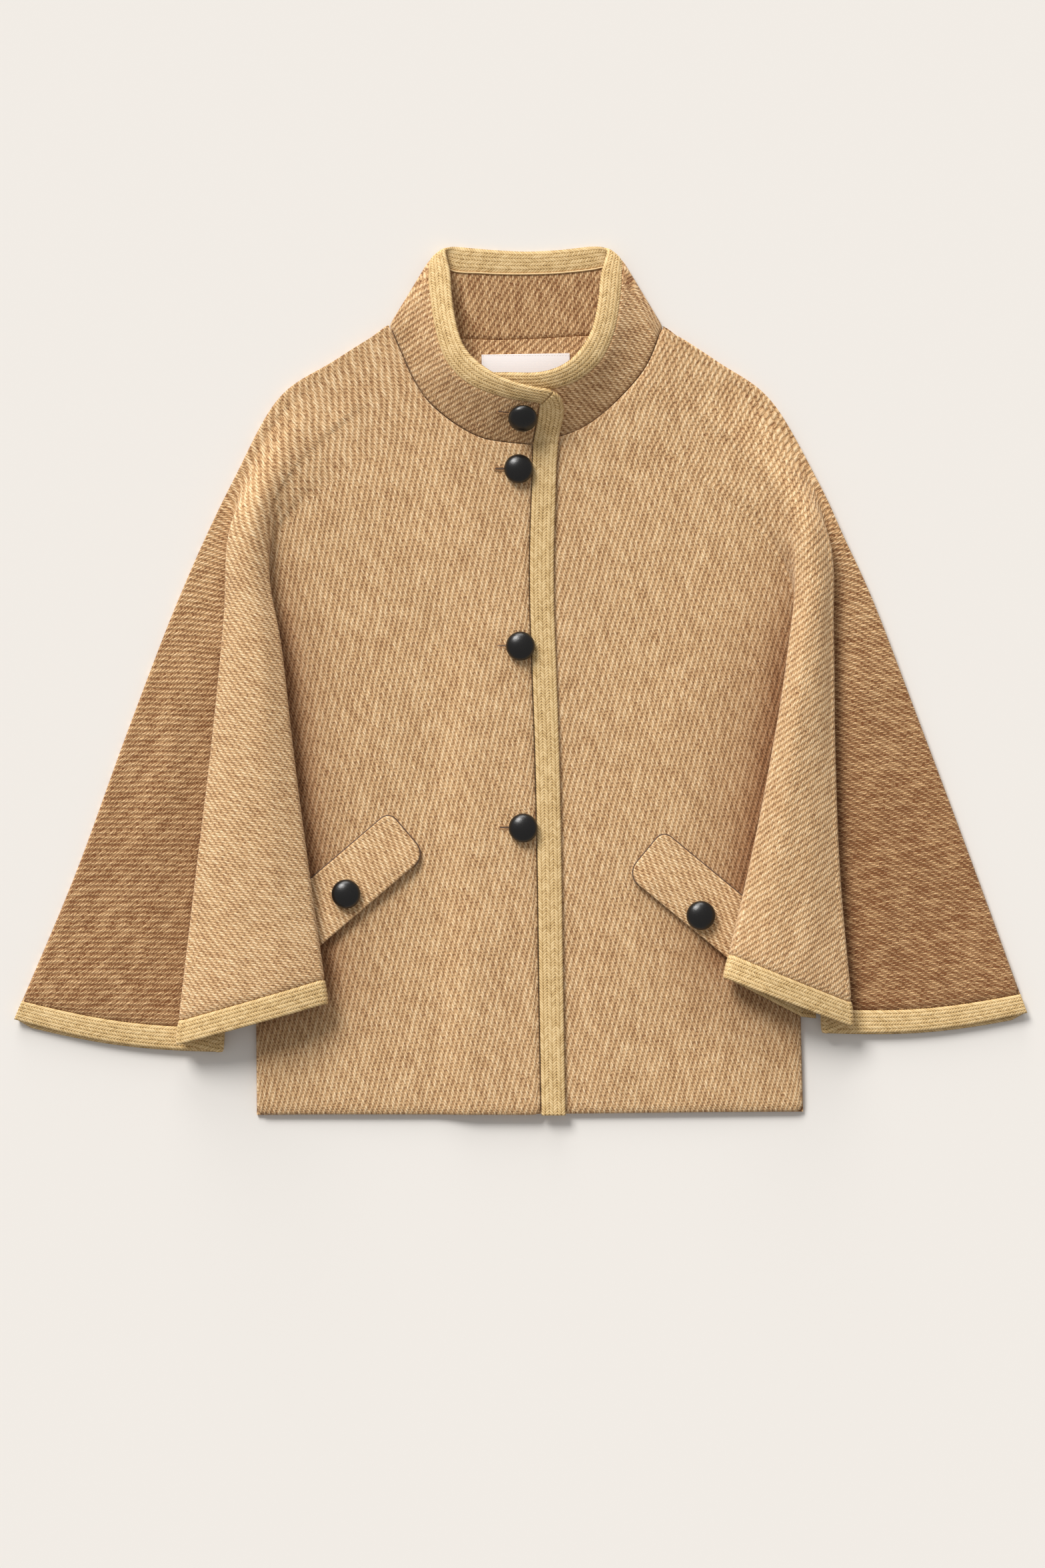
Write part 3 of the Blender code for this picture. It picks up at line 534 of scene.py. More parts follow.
def through_points(knots, values, places):
    """A smooth curve through the values, read at the given places along the knots."""
    knots = np.asarray(knots, float)
    values = np.asarray(values, float)
    places = np.clip(np.asarray(places, float), knots[0], knots[-1])
    slopes = np.gradient(values, knots, axis=0)
    spans = np.clip(np.searchsorted(knots, places, side="right") - 1, 0, len(knots) - 2)
    width = knots[spans + 1] - knots[spans]
    s = (places - knots[spans]) / width
    if values.ndim == 2:
        s = s[:, None]
        width = width[:, None]
    start = values[spans] * (2 * s**3 - 3 * s**2 + 1) + slopes[spans] * width * (s**3 - 2 * s**2 + s)
    end = values[spans + 1] * (3 * s**2 - 2 * s**3) + slopes[spans + 1] * width * (s**3 - s**2)
    return start + end


def lengths_along(points):
    """How far along a line each of its points lies."""
    steps = np.linalg.norm(np.diff(points, axis=0), axis=1)
    return np.concatenate(([0.0], np.cumsum(steps)))


def collar_knots():
    """Where each station of the collar lies, as a share of the band's length."""
    along = lengths_along(np.array(COLLAR_STATIONS)[:, 3:6])
    return along / along[-1]


def neck_seam(first, last, shares):
    """Points of the neck seam between two stations of the collar."""
    knots = collar_knots()
    places = knots[first] + (knots[last] - knots[first]) * np.asarray(shares)
    return through_points(knots, np.array(COLLAR_STATIONS)[:, 0:3], places)


# %% [markdown]
# One row of a front is a walk across the cloth: flat over the body, half a turn at each fold,
# an arch over the lobe, and the outer sleeve. Its first row is then brought to the neck seam.

# %% Folds of a front
# Below the armpit the cloth rises from the underarm seam to the lobe: places in mm from the
# seam, and the rises at the two places in the middle
UNDER_PLACES = (0.0, 3.0, 7.0, 13.0)
UNDER_RISES = (1.6, 4.0)


def turn_points(apex, outward, reach, z_before, z_after, depth):
    """Half a turn of the cloth about a fold line. A reach of -1 is an edge that points outward,
    and +1 one that points inward. Its outer half is always round. The half that leads to the
    neighbouring fold is round where the depth lets it overhang, and else a slope."""
    inner_radius = min(FOLD_RADIUS, abs(depth) / 2)
    overhang = min(max(depth, 0.0) / (2 * FOLD_RADIUS), 1.0)
    points = []
    for step in range(TURN_STEPS + 1):
        share = 2.0 * step / TURN_STEPS - 1.0
        angle = math.pi / 2 * share
        if share * reach > 0:
            move = reach * FOLD_RADIUS * (1.0 - math.cos(angle))
            rise = math.sin(angle)
        else:
            side = 1 if depth > 0 else -1
            move = side * reach * inner_radius * (1.0 - math.cos(angle))
            rise = share + (math.sin(angle) - share) * overhang
        z = (z_before + z_after) / 2 + (z_after - z_before) / 2 * rise
        points.append(np.array([apex[0] + outward[0] * move, apex[1] + outward[1] * move, z]))
    return points


def between(start, end, steps, puff=0.0):
    """The points between two ends, raised in a smooth arch."""
    points = []
    for step in range(1, steps):
        share = step / steps
        point = start + (end - start) * share
        point[2] += puff * math.sin(math.pi * share) ** 0.8
        points.append(point)
    return points


def front_row(table, side, t):
    """One row of a front, from its front edge over the body and the lobe to the outline."""
    numbers = np.array(table, float)
    row = {name: through_points(numbers[:, 0], numbers[:, i], [t])[0]
           for i, name in enumerate(FRONT_COLUMNS)}
    place = {name: np.array([row[name + "_x"], row[name + "_y"]])
             for name in ("cf", "side", "under", "in", "out", "edge")}
    outward = place["edge"] - place["in"]
    outward = outward / np.linalg.norm(outward)
    raised = float(smooth_step(T_FLAT, T_RAISED, t))
    valley = float(np.dot(place["side"] - place["in"], outward))
    hem_lift = HEM_LIFT * float(smooth_step(0.85, 1.0, t))
    z_base = Z_FRONT

    def lifted(z):
        return z_base + raised * (z - z_base)

    split = t > T_ARMPIT
    upper_lift = 2 * hem_lift
    inner = turn_points(place["in"], outward, 1, lifted(Z_RETURN_TOP) + upper_lift,
                        lifted(Z_LOBE) + upper_lift, valley)
    if split:
        body_end = np.array([*place["side"], z_base])
        moves = np.linspace(0.0, UNDER_PLACES[-1], TURN_STEPS)
        rises = [z_base + rise for rise in UNDER_RISES]
        heights = np.interp(moves, UNDER_PLACES, (z_base + hem_lift, *rises, Z_LAYER))
        valley_points = [body_end]
        for move, z in zip(moves, heights):
            valley_points.append(np.array([*(place["under"] - outward * move), z]))
    else:
        valley_points = turn_points(place["side"], outward, -1, z_base, lifted(Z_LAYER), valley)
    outer = turn_points(place["out"], outward, -1, lifted(Z_LOBE - 1.0) + upper_lift,
                        lifted(Z_LAYER + TUCK_SLOPE) + upper_lift, row["tuck"])
    tuck_place = place["out"] - outward * row["tuck"]
    tuck_place[1] -= TUCK_HEM_DROP * float(smooth_step(0.6, 1.0, t))
    tuck = turn_points(tuck_place, outward, 1, lifted(Z_LAYER - TUCK_SLOPE) + upper_lift,
                       z_base + hem_lift, row["tuck"])
    edge = np.array([*place["edge"], z_base + hem_lift])

    start = np.array([*place["cf"], z_base])
    points = [start] + between(start, valley_points[0], BODY_STEPS)
    points += valley_points
    points += between(valley_points[-1], inner[0], RETURN_STEPS)
    points += inner
    puff = LOBE_PUFF * raised
    points += between(inner[-1], outer[0], TOP_STEPS, puff)
    points += outer
    points += between(outer[-1], tuck[0], TUCK_STEPS)
    points += tuck
    sleeve_out = between(tuck[-1], edge, OUTER_STEPS)
    for step, point in enumerate(sleeve_out):
        share = (step + 1) / OUTER_STEPS
        point[1] -= OUTER_HEM_BOW * math.sin(math.pi * share) * float(smooth_step(0.5, 1.0, t))
    points += sleeve_out
    points.append(edge)
    points = np.array(points)

    if side == "right":
        points[:, 2] += PLACKET_LIFT * smooth_step(PLACKET_RISE_FROM, PLACKET_RISE_TO, points[:, 0])
    return points


def neck_shares():
    """How far along the neck seam each column of a front starts."""
    knots = [0, BODY_STEPS + TURN_STEPS // 2, INNER_APEX,
             LAST_PLEAT_COLUMN - TURN_STEPS - TUCK_STEPS - TURN_STEPS // 2, LAST_PLEAT_COLUMN + OUTER_STEPS]
    return np.interp(np.arange(LAST_PLEAT_COLUMN + OUTER_STEPS + 1), knots, [0, U_SIDE, U_INNER, U_OUTER, 1])


def front_rows(table, side):
    """All rows of a front, with the first on the neck seam."""
    rows = np.array([front_row(table, side, t) for t in ROW_SHARES])
    shares = neck_shares()
    if side == "right":
        target = neck_seam(0, RIGHT_SIDE_STATION, shares)
    else:
        target = neck_seam(len(COLLAR_STATIONS) - 1, LEFT_SIDE_STATION, shares)
    miss = target[:, :2] - rows[0][:, :2]
    for i, t in enumerate(ROW_SHARES):
        fade = (1.0 - min(t / 0.45, 1.0)) ** 2
        rows[i][:, :2] += miss * fade
        rows[i][:, 2] += NECK_LIFT * shares * (1.0 - smooth_step(0.0, 0.14, t))
    away = rows[1] - rows[0]
    away = away / np.linalg.norm(away, axis=1)[:, None]
    rows[0] += away * NECK_GAP
    return rows


# %% [markdown]
# The collar is a band between the neck seam and the rim. Its lines are read from the stations.

# %% The collar's lines
def collar_grid(lines, count):
    """A band from the stations. Each line lies at a share of the cloth's or the braid's width."""
    stations = np.array(COLLAR_STATIONS)
    knots = collar_knots()
    places = np.linspace(0.0, 1.0, count)
    seam = through_points(knots, stations[:, 0:3], places)
    cloth = through_points(knots, stations[:, 3:6], places)
    rim = through_points(knots, stations[:, 6:9], places)
    folds = knots[[RIGHT_SIDE_STATION, LEFT_SIDE_STATION]]
    grid = []
    for part, share in lines:
        if part == "cloth":
            grid.append(seam + (cloth - seam) * share)
        else:
            near = np.exp(-(np.min(np.abs(places[:, None] - folds), axis=1) / FOLD_SPREAD) ** 2)
            kept = share + RIM_FOLD_GAP * near * (1.0 - share)
            grid.append(cloth + (rim - cloth) * kept[:, None])
    return np.array(grid)


# %% [markdown]
# The buttons, flaps and label could be placed by eye. Here they take the places that the solids
# have. Each button is given by the place of its foot, and each flap by its inner end.

# %% Places of the buttons, flaps and label
BUTTON_SPOTS = {
    "button_front_1": (-1.7, 184.0),
    "button_front_2": (0.0, 29.5),
    "button_front_3": (2.3, -129.0),
}
COLLAR_BUTTON_X, COLLAR_BUTTON_Y = 2.0, 230.0
FLAP_SPOTS = {
    "right": {"inner_end": (-98.5, -134.0), "angle": -139.5, "width": 50.0,
              "button_along": 74.8, "button_across": 5.1},
    "left": {"inner_end": (108.4, -150.7), "angle": -39.5, "width": 50.0,
             "button_along": 72.2, "button_across": -11.0},
}
LABEL_SIZE = (77.0, 25.0, 1.0)
LABEL_CENTRE = (4.6, 272.5)
LABEL_TURN = 1.0
print("buttons on the front:", len(BUTTON_SPOTS), "flaps:", len(FLAP_SPOTS))

# %% [markdown]
# ## The cloth
# A real front is one flat piece of wool. It could be draped by a simulation, but the folds of
# this one are known, so it is lofted: one row of points across the cloth for each place down
# it, with a wall of 3 mm from a Solidify modifier and rounded edges from one subdivision.
# Soft swells and creases are added to the rows, because thick wool never lies quite flat.

# %% Soft swells and creases
def swell(x, y, creases):
    """The height that soft ridges and troughs add at a place. Each crease has two ends, a
    width, and a height that is below zero for a trough. It fades out towards its ends."""
    lift = np.zeros_like(x)
    for x1, y1, x2, y2, width, height in creases:
        dx, dy = x2 - x1, y2 - y1
        length = math.hypot(dx, dy)
        along = ((x - x1) * dx + (y - y1) * dy) / length ** 2
        off = ((x - x1) * dy - (y - y1) * dx) / length
        past = np.maximum(np.abs(along - 0.5) - 0.35, 0.0) * length
        lift += height * np.exp(-(off / width) ** 2 - (past / (1.6 * width)) ** 2)
    return lift


def new_piece(name, points, faces):
    """A new object from points in metres and the faces between them."""
    mesh = bpy.data.meshes.new(name)
    mesh.from_pydata(points, [], faces)
    piece = bpy.data.objects.new(name, mesh)
    bpy.context.scene.collection.objects.link(piece)
    return piece


def keep_values(mesh, name, values):
    """One number at each point of a mesh, which the material reads."""
    kept = mesh.attributes.new(name, "FLOAT", "POINT")
    kept.data.foreach_set("value", values.ravel().astype(np.float32))


def cloth_shell(name, grid, wall, weave, skip=None, openness_and_shade=None, depth=None):
    """A grid of points made a thin cloth. weave gives each face corner its place on the cloth."""
    rows, columns = grid.shape[0], grid.shape[1]
    faces = []
    corners = []
    for i in range(rows - 1):
        for j in range(columns - 1):
            if skip and skip(i, j):
                continue
            a = i * columns + j
            quad = (a, a + 1, a + columns + 1, a + columns)
            faces.append(quad)
            corners.extend(weave(i, j, place) for place in ((i, j), (i, j + 1), (i + 1, j + 1), (i + 1, j)))
    points = grid.reshape(-1, 3) * MM
    first = points[list(faces[len(faces) // 3])]
    up = np.cross(first[1] - first[0], first[3] - first[0])[2]
    if up < 0:
        faces = [tuple(reversed(face)) for face in faces]
        corners = [c for k in range(0, len(corners), 4) for c in reversed(corners[k:k + 4])]
    cloth = new_piece(name, points.tolist(), faces)
    layer = cloth.data.uv_layers.new(name="weave")
    layer.data.foreach_set("uv", np.array(corners, dtype=np.float32).ravel())
    # The first attribute opens the weave and darkens it, partly as painted shade; the second, from depth, is
    # painted shade beside and under the folds
    keep_values(cloth.data, "open_weave_and_shade", np.zeros(grid.shape[:2]) if openness_and_shade is None else openness_and_shade)
    if depth is not None:
        keep_values(cloth.data, "painted_fold_shade", depth)
    bpy.context.view_layer.objects.active = cloth
    thicken = cloth.modifiers.new("wall", "SOLIDIFY")
    thicken.thickness = wall * MM
    thicken.offset = 0.0
    thicken.use_even_offset = False
    bpy.ops.object.modifier_apply(modifier="wall")
    rounder = cloth.modifiers.new("round", "SUBSURF")
    rounder.levels = 1
    rounder.render_levels = 1
    rounder.uv_smooth = "NONE"
    rounder.boundary_smooth = "ALL"
    bpy.ops.object.modifier_apply(modifier="round")
    cloth.data.shade_smooth()
    cloth.data.materials.append(wool)
    print(name, "faces:", len(cloth.data.polygons))
    return cloth


# %% [markdown]
# The cloth is one flat piece before it is folded, so its ribs turn where the folds turn it.
# Blender's own unwrap could flatten it, but then the ribs would lean by chance. Here each
# small edge of the grid is laid flat at the angle that its region shows, and a least-squares
# fit joins them all. The hidden pleats count little in the fit, so they take up the stretch.

# %% Which way the ribs run
# The angle of the floats from +X, in degrees, low down on the body, the lobe and the sleeve
GRAIN = {"right": (105.0, 162.0, 210.0), "left": (105.0, 60.0, 0.0)}
GRAIN_FROM, GRAIN_TO = 0.15, 0.46
OUTER_FIRST = INNER_APEX + TURN_STEPS // 2 + TOP_STEPS + TURN_STEPS // 2
HIDDEN = 0.03


def turned(x, y, degrees):
    """A place in metres, read along and across the floats."""
    angle = math.radians(degrees)
    return ((x * math.cos(angle) + y * math.sin(angle)) * MM,
            (-x * math.sin(angle) + y * math.cos(angle)) * MM)


def grain_angles(side):
    """The angle of the floats at each point of a front's grid."""
    body, lobe, outer = GRAIN[side]
    columns = np.arange(LAST_PLEAT_COLUMN + OUTER_STEPS + 1)
    stops = (0, BODY_STEPS + 2, INNER_APEX - 2, OUTER_FIRST, LAST_PLEAT_COLUMN, columns[-1])
    low = np.interp(columns, stops, (body, body, lobe, lobe, outer, outer))
    turn = smooth_step(GRAIN_FROM, GRAIN_TO, np.array(ROW_SHARES))[:, None]
    return body + (low[None, :] - body) * turn


def lay_flat(grid, angles, weights):
    """Flat coordinates for a grid, fitted to the wanted angle of each of its edges."""
    rows, columns = grid.shape[:2]
    number = np.arange(rows * columns).reshape(rows, columns)
    pairs = [(number[:, :-1].ravel(), number[:, 1:].ravel()), (number[:-1].ravel(), number[1:].ravel())]
    start = np.concatenate([pair[0] for pair in pairs])
    end = np.concatenate([pair[1] for pair in pairs])
    points = grid.reshape(-1, 3)
    step = points[end] - points[start]
    plan = step[:, 0] + 1j * step[:, 1]
    size = np.maximum(np.abs(plan), 1e-6)
    plan = plan / size * np.minimum(np.linalg.norm(step, axis=1), 2.5 * size)
    flat_angles = np.radians(angles.ravel())
    wanted = plan * np.exp(-0.5j * (flat_angles[start] + flat_angles[end]))
    weight = np.minimum(weights.ravel()[start], weights.ravel()[end])

    def gather(values):
        total = np.zeros(rows * columns, dtype=complex)
        np.add.at(total, end, values)
        np.add.at(total, start, -values)
        return total

    target = gather(weight * wanted)
    spread = np.zeros(rows * columns)
    np.add.at(spread, end, weight)
    np.add.at(spread, start, weight)
    middle = points[:, 0] + 1j * points[:, 1]
    flat = middle * np.exp(-1j * flat_angles[0])
    rest = target - gather(weight * (flat[end] - flat[start]))
    ready = rest / spread
    search = ready.copy()
    worth = np.vdot(rest, ready).real
    for _ in range(1500):
        pushed = gather(weight * (search[end] - search[start]))
        move = worth / np.vdot(search, pushed).real
        flat = flat + move * search
        rest = rest - move * pushed
        ready = rest / spread
        newer = np.vdot(rest, ready).real
        if newer < 1e-10 * rows * columns:
            break
        search = ready + newer / worth * search
        worth = newer
    return flat.reshape(rows, columns) * MM


def read_from(flat):
    """The weave function of a grid whose flat coordinates are known."""
    def weave(i, j, place):
        return flat[place].real, flat[place].imag
    return weave


def front_weave(grid, side):
    """The weave of a front. The cloth hidden in its folds takes up the stretch."""
    columns = np.arange(grid.shape[1])
    inner = (columns >= BODY_STEPS + TURN_STEPS // 2) * (columns < INNER_APEX - 1)
    under = (columns > OUTER_FIRST) * (columns < LAST_PLEAT_COLUMN)
    folded = smooth_step(0.27, 0.36, np.array(ROW_SHARES))[:, None]
    weights = 1.0 - (1.0 - HIDDEN) * folded * np.maximum(inner, under)[None, :]
    return read_from(lay_flat(grid, grain_angles(side), weights))


# %% [markdown]
# The two fronts are dressed in the same way, each from its own table. The sleeves could be
# mirrored, but in the picture the two folds differ in width and in the lie of their ribs.

# %% The two fronts
# Each crease: its two ends, its width and its height, in mm
BODY_CREASES = {
    "right": [(-180, -60, -205, -350, 16, 1.6), (-120, 20, -150, -330, 20, 1.0),
              (-60, 150, -20, -60, 18, 0.8), (-40, -200, -60, -370, 16, 1.0)],
    "left": [(200, -60, 225, -350, 16, 1.6), (130, 20, 160, -330, 20, 1.0),
             (40, 150, 30, -60, 18, 0.8), (70, -200, 90, -370, 16, 1.0)],
}
LOBE_CREASES = {
    "right": [(-250, 110, -252, -60, 9, 1.6), (-262, -80, -240, -260, 12, 1.4),
              (-210, 150, -140, 250, 9, 1.2)],
    "left": [(262, 90, 262, -60, 9, 1.6), (262, -100, 245, -260, 12, 1.4),
             (220, 150, 160, 240, 9, 1.2)],
}
OUTER_CREASES = {
    "right": [(-290, 40, -330, -270, 14, 2.2), (-310, -60, -370, -280, 12, 1.6)],
    "left": [(290, 40, 325, -270, 14, 2.2), (310, -60, 375, -280, 12, 1.6)],
}
# The shoulders are smoothed across in many light rounds, fading out between two shares
SHOULDER_FROM, SHOULDER_TO = 0.16, 0.34
SHOULDER_ROUNDS = 90
LOBE_CROWN = 8.0
# How far each outer sleeve's weave opens, which also darkens it, partly as painted shade
OPEN_AND_SHADE_OUTER = {"right": 0.85, "left": 1.1}
# The painted shade beside a fold: its narrow width in mm, then the strength and width of its
# wide part and of the painted shade beside the lobe's outer edge
NARROW_SHADE = 17.0
WIDE_SHADE = {"right": (0.36, 46.0), "left": (0.50, 58.0)}
OUTER_SHADE = {"right": (0.25, 7.0), "left": (0.55, 14.0)}
PLEAT_SHADE = 0.8


def over(columns, *stops):
    """1 between the two middle stops, fading to 0 at the outer two."""
    return np.interp(columns, stops, (0.0, 1.0, 1.0, 0.0))


def dressed_rows(table, side):
    """The rows of a front with its swells and creases. They fade out at the seams and edges."""
    rows = front_rows(table, side)
    shares = np.array(ROW_SHARES)[:, None]
    calm = smooth_step(0.03, 0.12, shares) * (1.0 - smooth_step(0.965, 0.995, shares))
    columns = np.arange(rows.shape[1])[None, :]
    last = rows.shape[1] - 1
    body = over(columns, 0, 4, BODY_STEPS - 5, BODY_STEPS)
    lobe = over(columns, INNER_APEX, INNER_APEX + 5, OUTER_FIRST - 9, OUTER_FIRST - 4)
    outer = over(columns, LAST_PLEAT_COLUMN, LAST_PLEAT_COLUMN + 4, last - 3, last)
    x, y = rows[:, :, 0], rows[:, :, 1]
    soft = 1.0 - smooth_step(SHOULDER_FROM, SHOULDER_TO, shares)
    for _ in range(SHOULDER_ROUNDS):
        z = rows[:, :, 2]
        smooth = z.copy()
        smooth[:, 1:-1] = (z[:, :-2] + 2.0 * z[:, 1:-1] + z[:, 2:]) / 4.0
        rows[:, :, 2] = z + (smooth - z) * soft
    ripple = 0.35 + 0.35 * np.sin(x * 0.043 + 1.3 * np.sin(y * 0.017)) * np.sin(y * 0.031 + 0.9)
    rows[:, :, 2] += calm * body * (np.maximum(swell(x, y, BODY_CREASES[side]), 0.0) + ripple)
    rows[:, :, 2] += calm * lobe * swell(x, y, LOBE_CREASES[side])
    crown_stops = (INNER_APEX - 3, INNER_APEX + 1, INNER_APEX + 8, OUTER_FIRST - 4)
    crown = np.interp(columns, crown_stops, (0.0, 0.55, 1.0, 0.0))
    rows[:, :, 2] += crown * LOBE_CROWN * smooth_step(0.30, 0.55, shares)
    rows[:, :, 2] += calm * outer * (np.maximum(swell(x, y, OUTER_CREASES[side]), 0.0) + ripple)
    return rows


right_rows = dressed_rows(FRONT_RIGHT, "right")
left_rows = dressed_rows(FRONT_LEFT, "left")


def open_weave_and_shade(side):
    """How far the ribs stand apart, which also darkens the cloth as painted shade: most on the outer sleeve,
    where the cloth hangs free.
    """
    columns = np.arange(LAST_PLEAT_COLUMN + OUTER_STEPS + 1)
    across = np.interp(columns, (OUTER_FIRST, LAST_PLEAT_COLUMN), (0.0, OPEN_AND_SHADE_OUTER[side]))
    return across[None, :] * smooth_step(0.10, 0.80, np.array(ROW_SHARES))[:, None]


def nearness(rows, line):
    """The distance in mm from each grid point to a line of points, seen from above."""
    line = np.array(line)
    steps = np.concatenate([np.linspace(a, b, 8)[:-1] for a, b in zip(line[:-1], line[1:])])
    flat = rows[:, :, :2].reshape(-1, 2)
    gaps = np.linalg.norm(flat[:, None, :] - steps[None, :, :], axis=2).min(axis=1)
    return gaps.reshape(rows.shape[:2])


def painted_shade_beside_lobe(rows, side):
    """The painted shade beside and under the lobe, where its shadow falls. The shade fades over some
    centimetres.
    """
    shares = np.array(ROW_SHARES)[:, None]
    columns = np.arange(rows.shape[1])[None, :]
    inner = rows[:, INNER_APEX, :2]
    hem = rows[-1, INNER_APEX:OUTER_FIRST, :2]
    fade = smooth_step(0.20, 0.50, shares)
    gap = nearness(rows, np.concatenate([inner, hem]))
    wide, spread = WIDE_SHADE[side]
    beside = (1.0 - wide) * np.exp(-(gap / NARROW_SHADE) ** 2) + wide * np.exp(-(gap / spread) ** 2)
    x, y = np.abs(rows[:, :, 0]), rows[:, :, 1]
    edge_x = np.interp(y, inner[::-1, 1], np.abs(inner[::-1, 0]))
    order = np.argsort(np.abs(hem[:, 0]))
    hem_y = np.interp(x, np.abs(hem[order, 0]), hem[order, 1])
    beside = np.where((x > edge_x) & (y > hem_y), 1.0, beside)
    strength, reach = OUTER_SHADE[side]
    outside = strength * np.exp(-(nearness(rows, rows[:, OUTER_FIRST - 1, :2]) / reach) ** 2)
    depth = np.where(columns <= SLIT_COLUMN, beside, 0.0)
    depth = depth + np.where(columns >= LAST_PLEAT_COLUMN, outside, 0.0)
    depth = np.where((columns > SLIT_COLUMN) & (columns < INNER_APEX - 1), PLEAT_SHADE, depth)
    return depth * fade


def slit(i, j):
    """The open side seam below the armpit, where a front has no faces."""
    return i >= ARMPIT_ROW and j == SLIT_COLUMN


fronts = {}
for side, rows in (("right", right_rows), ("left", left_rows)):
    fronts[side] = cloth_shell("cloth_front_" + side, rows, CLOTH, front_weave(rows, side), slit,
                               open_weave_and_shade(side), painted_shade_beside_lobe(rows, side))

# %% [markdown]
# ## The back
# Under the fronts lies the back, flat on the floor. Only the strip inside the neck shows, with
# the label sewn on it. It is cut to the same outline as the fronts: a flat curve round it is
# filled and given the cloth's thickness.


# %% The back
BACK_GRAIN = 72.0
# The back inside the neck is given an open weave, which darkens it, partly as painted shade of the collar
FLAT_OPENNESS_AND_SHADE = 0.5


def back_hem(rows):
    """The hem of the sleeve's back, from the outline in to the underarm seam."""
    return rows[-1][LAST_PLEAT_COLUMN:, :2][::-1]


def outline_of_back():
    """The back's outline: the neck, then down one side and up the other."""
    shares = np.linspace(0.0, 1.0, 41)
    seam = neck_seam(RIGHT_SIDE_STATION, LEFT_SIDE_STATION, shares)
    drop = NECK_GAP + NECK_SIDE_DROP * np.abs(2 * shares - 1) ** 8
    outline = list(zip(seam[1:-1, 0], (seam[:, 1] - drop)[1:-1]))
    for rows, order in ((left_rows, 1), (right_rows, -1)):
        silhouette = [tuple(p) for p in rows[1:, -1, :2]]
        hem = back_hem(rows)
        underarm = [tuple(p) for p in rows[ARMPIT_ROW + 1:, SLIT_COLUMN + 1, :2]][::-1]
        body_side = [tuple(p) for p in rows[ARMPIT_ROW + 1:, SLIT_COLUMN, :2]]
        path = silhouette + [tuple(p) for p in hem[1:-1]] + underarm + body_side
        outline += path if order == 1 else path[::-1]
    return outline


def cut_piece(name, outline, bottom, top, grain, material, edge=1.0):
    """A flat piece cut to an outline: a flat curve filled and raised, then made a mesh."""
    curve = bpy.data.curves.new(name, "CURVE")
    curve.dimensions = "2D"
    curve.fill_mode = "BOTH"
    curve.extrude = (top - bottom) / 2 * MM - edge * MM * 0.5
    curve.bevel_depth = edge * MM * 0.5
    curve.bevel_resolution = 2
    curve.offset = -edge * MM * 0.5
    spline = curve.splines.new("POLY")
    spline.points.add(len(outline) - 1)
    for point, (x, y) in zip(spline.points, outline):
        point.co = (x * MM, y * MM, 0.0, 1.0)
    spline.use_cyclic_u = True
    piece = bpy.data.objects.new(name, curve)
    bpy.context.scene.collection.objects.link(piece)
    bpy.ops.object.select_all(action="DESELECT")
    piece.select_set(True)
    bpy.context.view_layer.objects.active = piece
    bpy.ops.object.convert(target="MESH")
    piece = bpy.context.object
    piece.name = name
    piece.location = (0.0, 0.0, (bottom + top) / 2 * MM)
    bpy.ops.object.transform_apply(location=True, rotation=True, scale=True)
    bpy.ops.object.mode_set(mode="EDIT")
    bpy.ops.mesh.select_all(action="SELECT")
    bpy.ops.mesh.remove_doubles(threshold=0.00001)
    bpy.ops.mesh.normals_make_consistent(inside=False)
    bpy.ops.object.mode_set(mode="OBJECT")
    layers = piece.data.uv_layers
    layer = layers[0] if layers else layers.new()
    layer.name = "weave"
    for loop in piece.data.loops:
        spot = piece.data.vertices[loop.vertex_index].co
        layer.data[loop.index].uv = turned(spot.x / MM, spot.y / MM, grain)
    keep_values(piece.data, "open_weave_and_shade", np.full(len(piece.data.vertices), FLAT_OPENNESS_AND_SHADE))
    piece.data.materials.clear()
    piece.data.materials.append(material)
    bpy.ops.object.shade_smooth_by_angle(angle=math.radians(50))
    bpy.ops.object.select_all(action="DESELECT")
    print(name, "faces:", len(piece.data.polygons))
    return piece


back = cut_piece("cloth_back", outline_of_back(), 0.0, CLOTH, BACK_GRAIN, wool)

# %% [markdown]
# ## The collar
# The collar is a stand band. It lies open: it rises from the neck seam at both front ends and
# lies on its inside behind the neck. It is lofted between the neck seam and the rim.

# %% The collar
COLLAR_COUNT = 181
COLLAR_LINES = 9
# The cloth runs a little past the seam and past the edge of the braid, as shares of its width
COLLAR_FROM, COLLAR_TO = -0.032, 1.035
# The angle of the floats on the two fronts of the collar and on the inside behind the neck
COLLAR_GRAIN = (62.0, 88.0, 158.0)
# The share of the band at each side fold where the ribs turn
COLLAR_FOLD = 0.03
# How open the collar's weave is, which also darkens it, partly as painted shade: most on its inside behind
# the neck
COLLAR_OPENNESS_AND_SHADE = {"inside": 0.58, "outside": 0.22}
collar_lines = [("cloth", share) for share in np.linspace(COLLAR_FROM, COLLAR_TO, COLLAR_LINES)]
collar_points = collar_grid(collar_lines, COLLAR_COUNT)


def collar_weave(grid):
    """The collar's ribs. Its two side folds take up the change from one part to the next."""
    places = np.linspace(0.0, 1.0, grid.shape[1])
    folds = collar_knots()[[RIGHT_SIDE_STATION, LEFT_SIDE_STATION]]
    stops = [fold + way * COLLAR_FOLD for fold in folds for way in (-1, 1)]
    front, behind, last = COLLAR_GRAIN
    angles = np.interp(places, stops, (front, behind, behind, last))
    near = np.min(np.abs(places[:, None] - folds), axis=1)
    weights = np.where(near < COLLAR_FOLD, HIDDEN, 1.0)
    rows = np.ones((grid.shape[0], 1))
    return read_from(lay_flat(grid, angles[None, :] * rows, weights[None, :] * rows)), places, folds


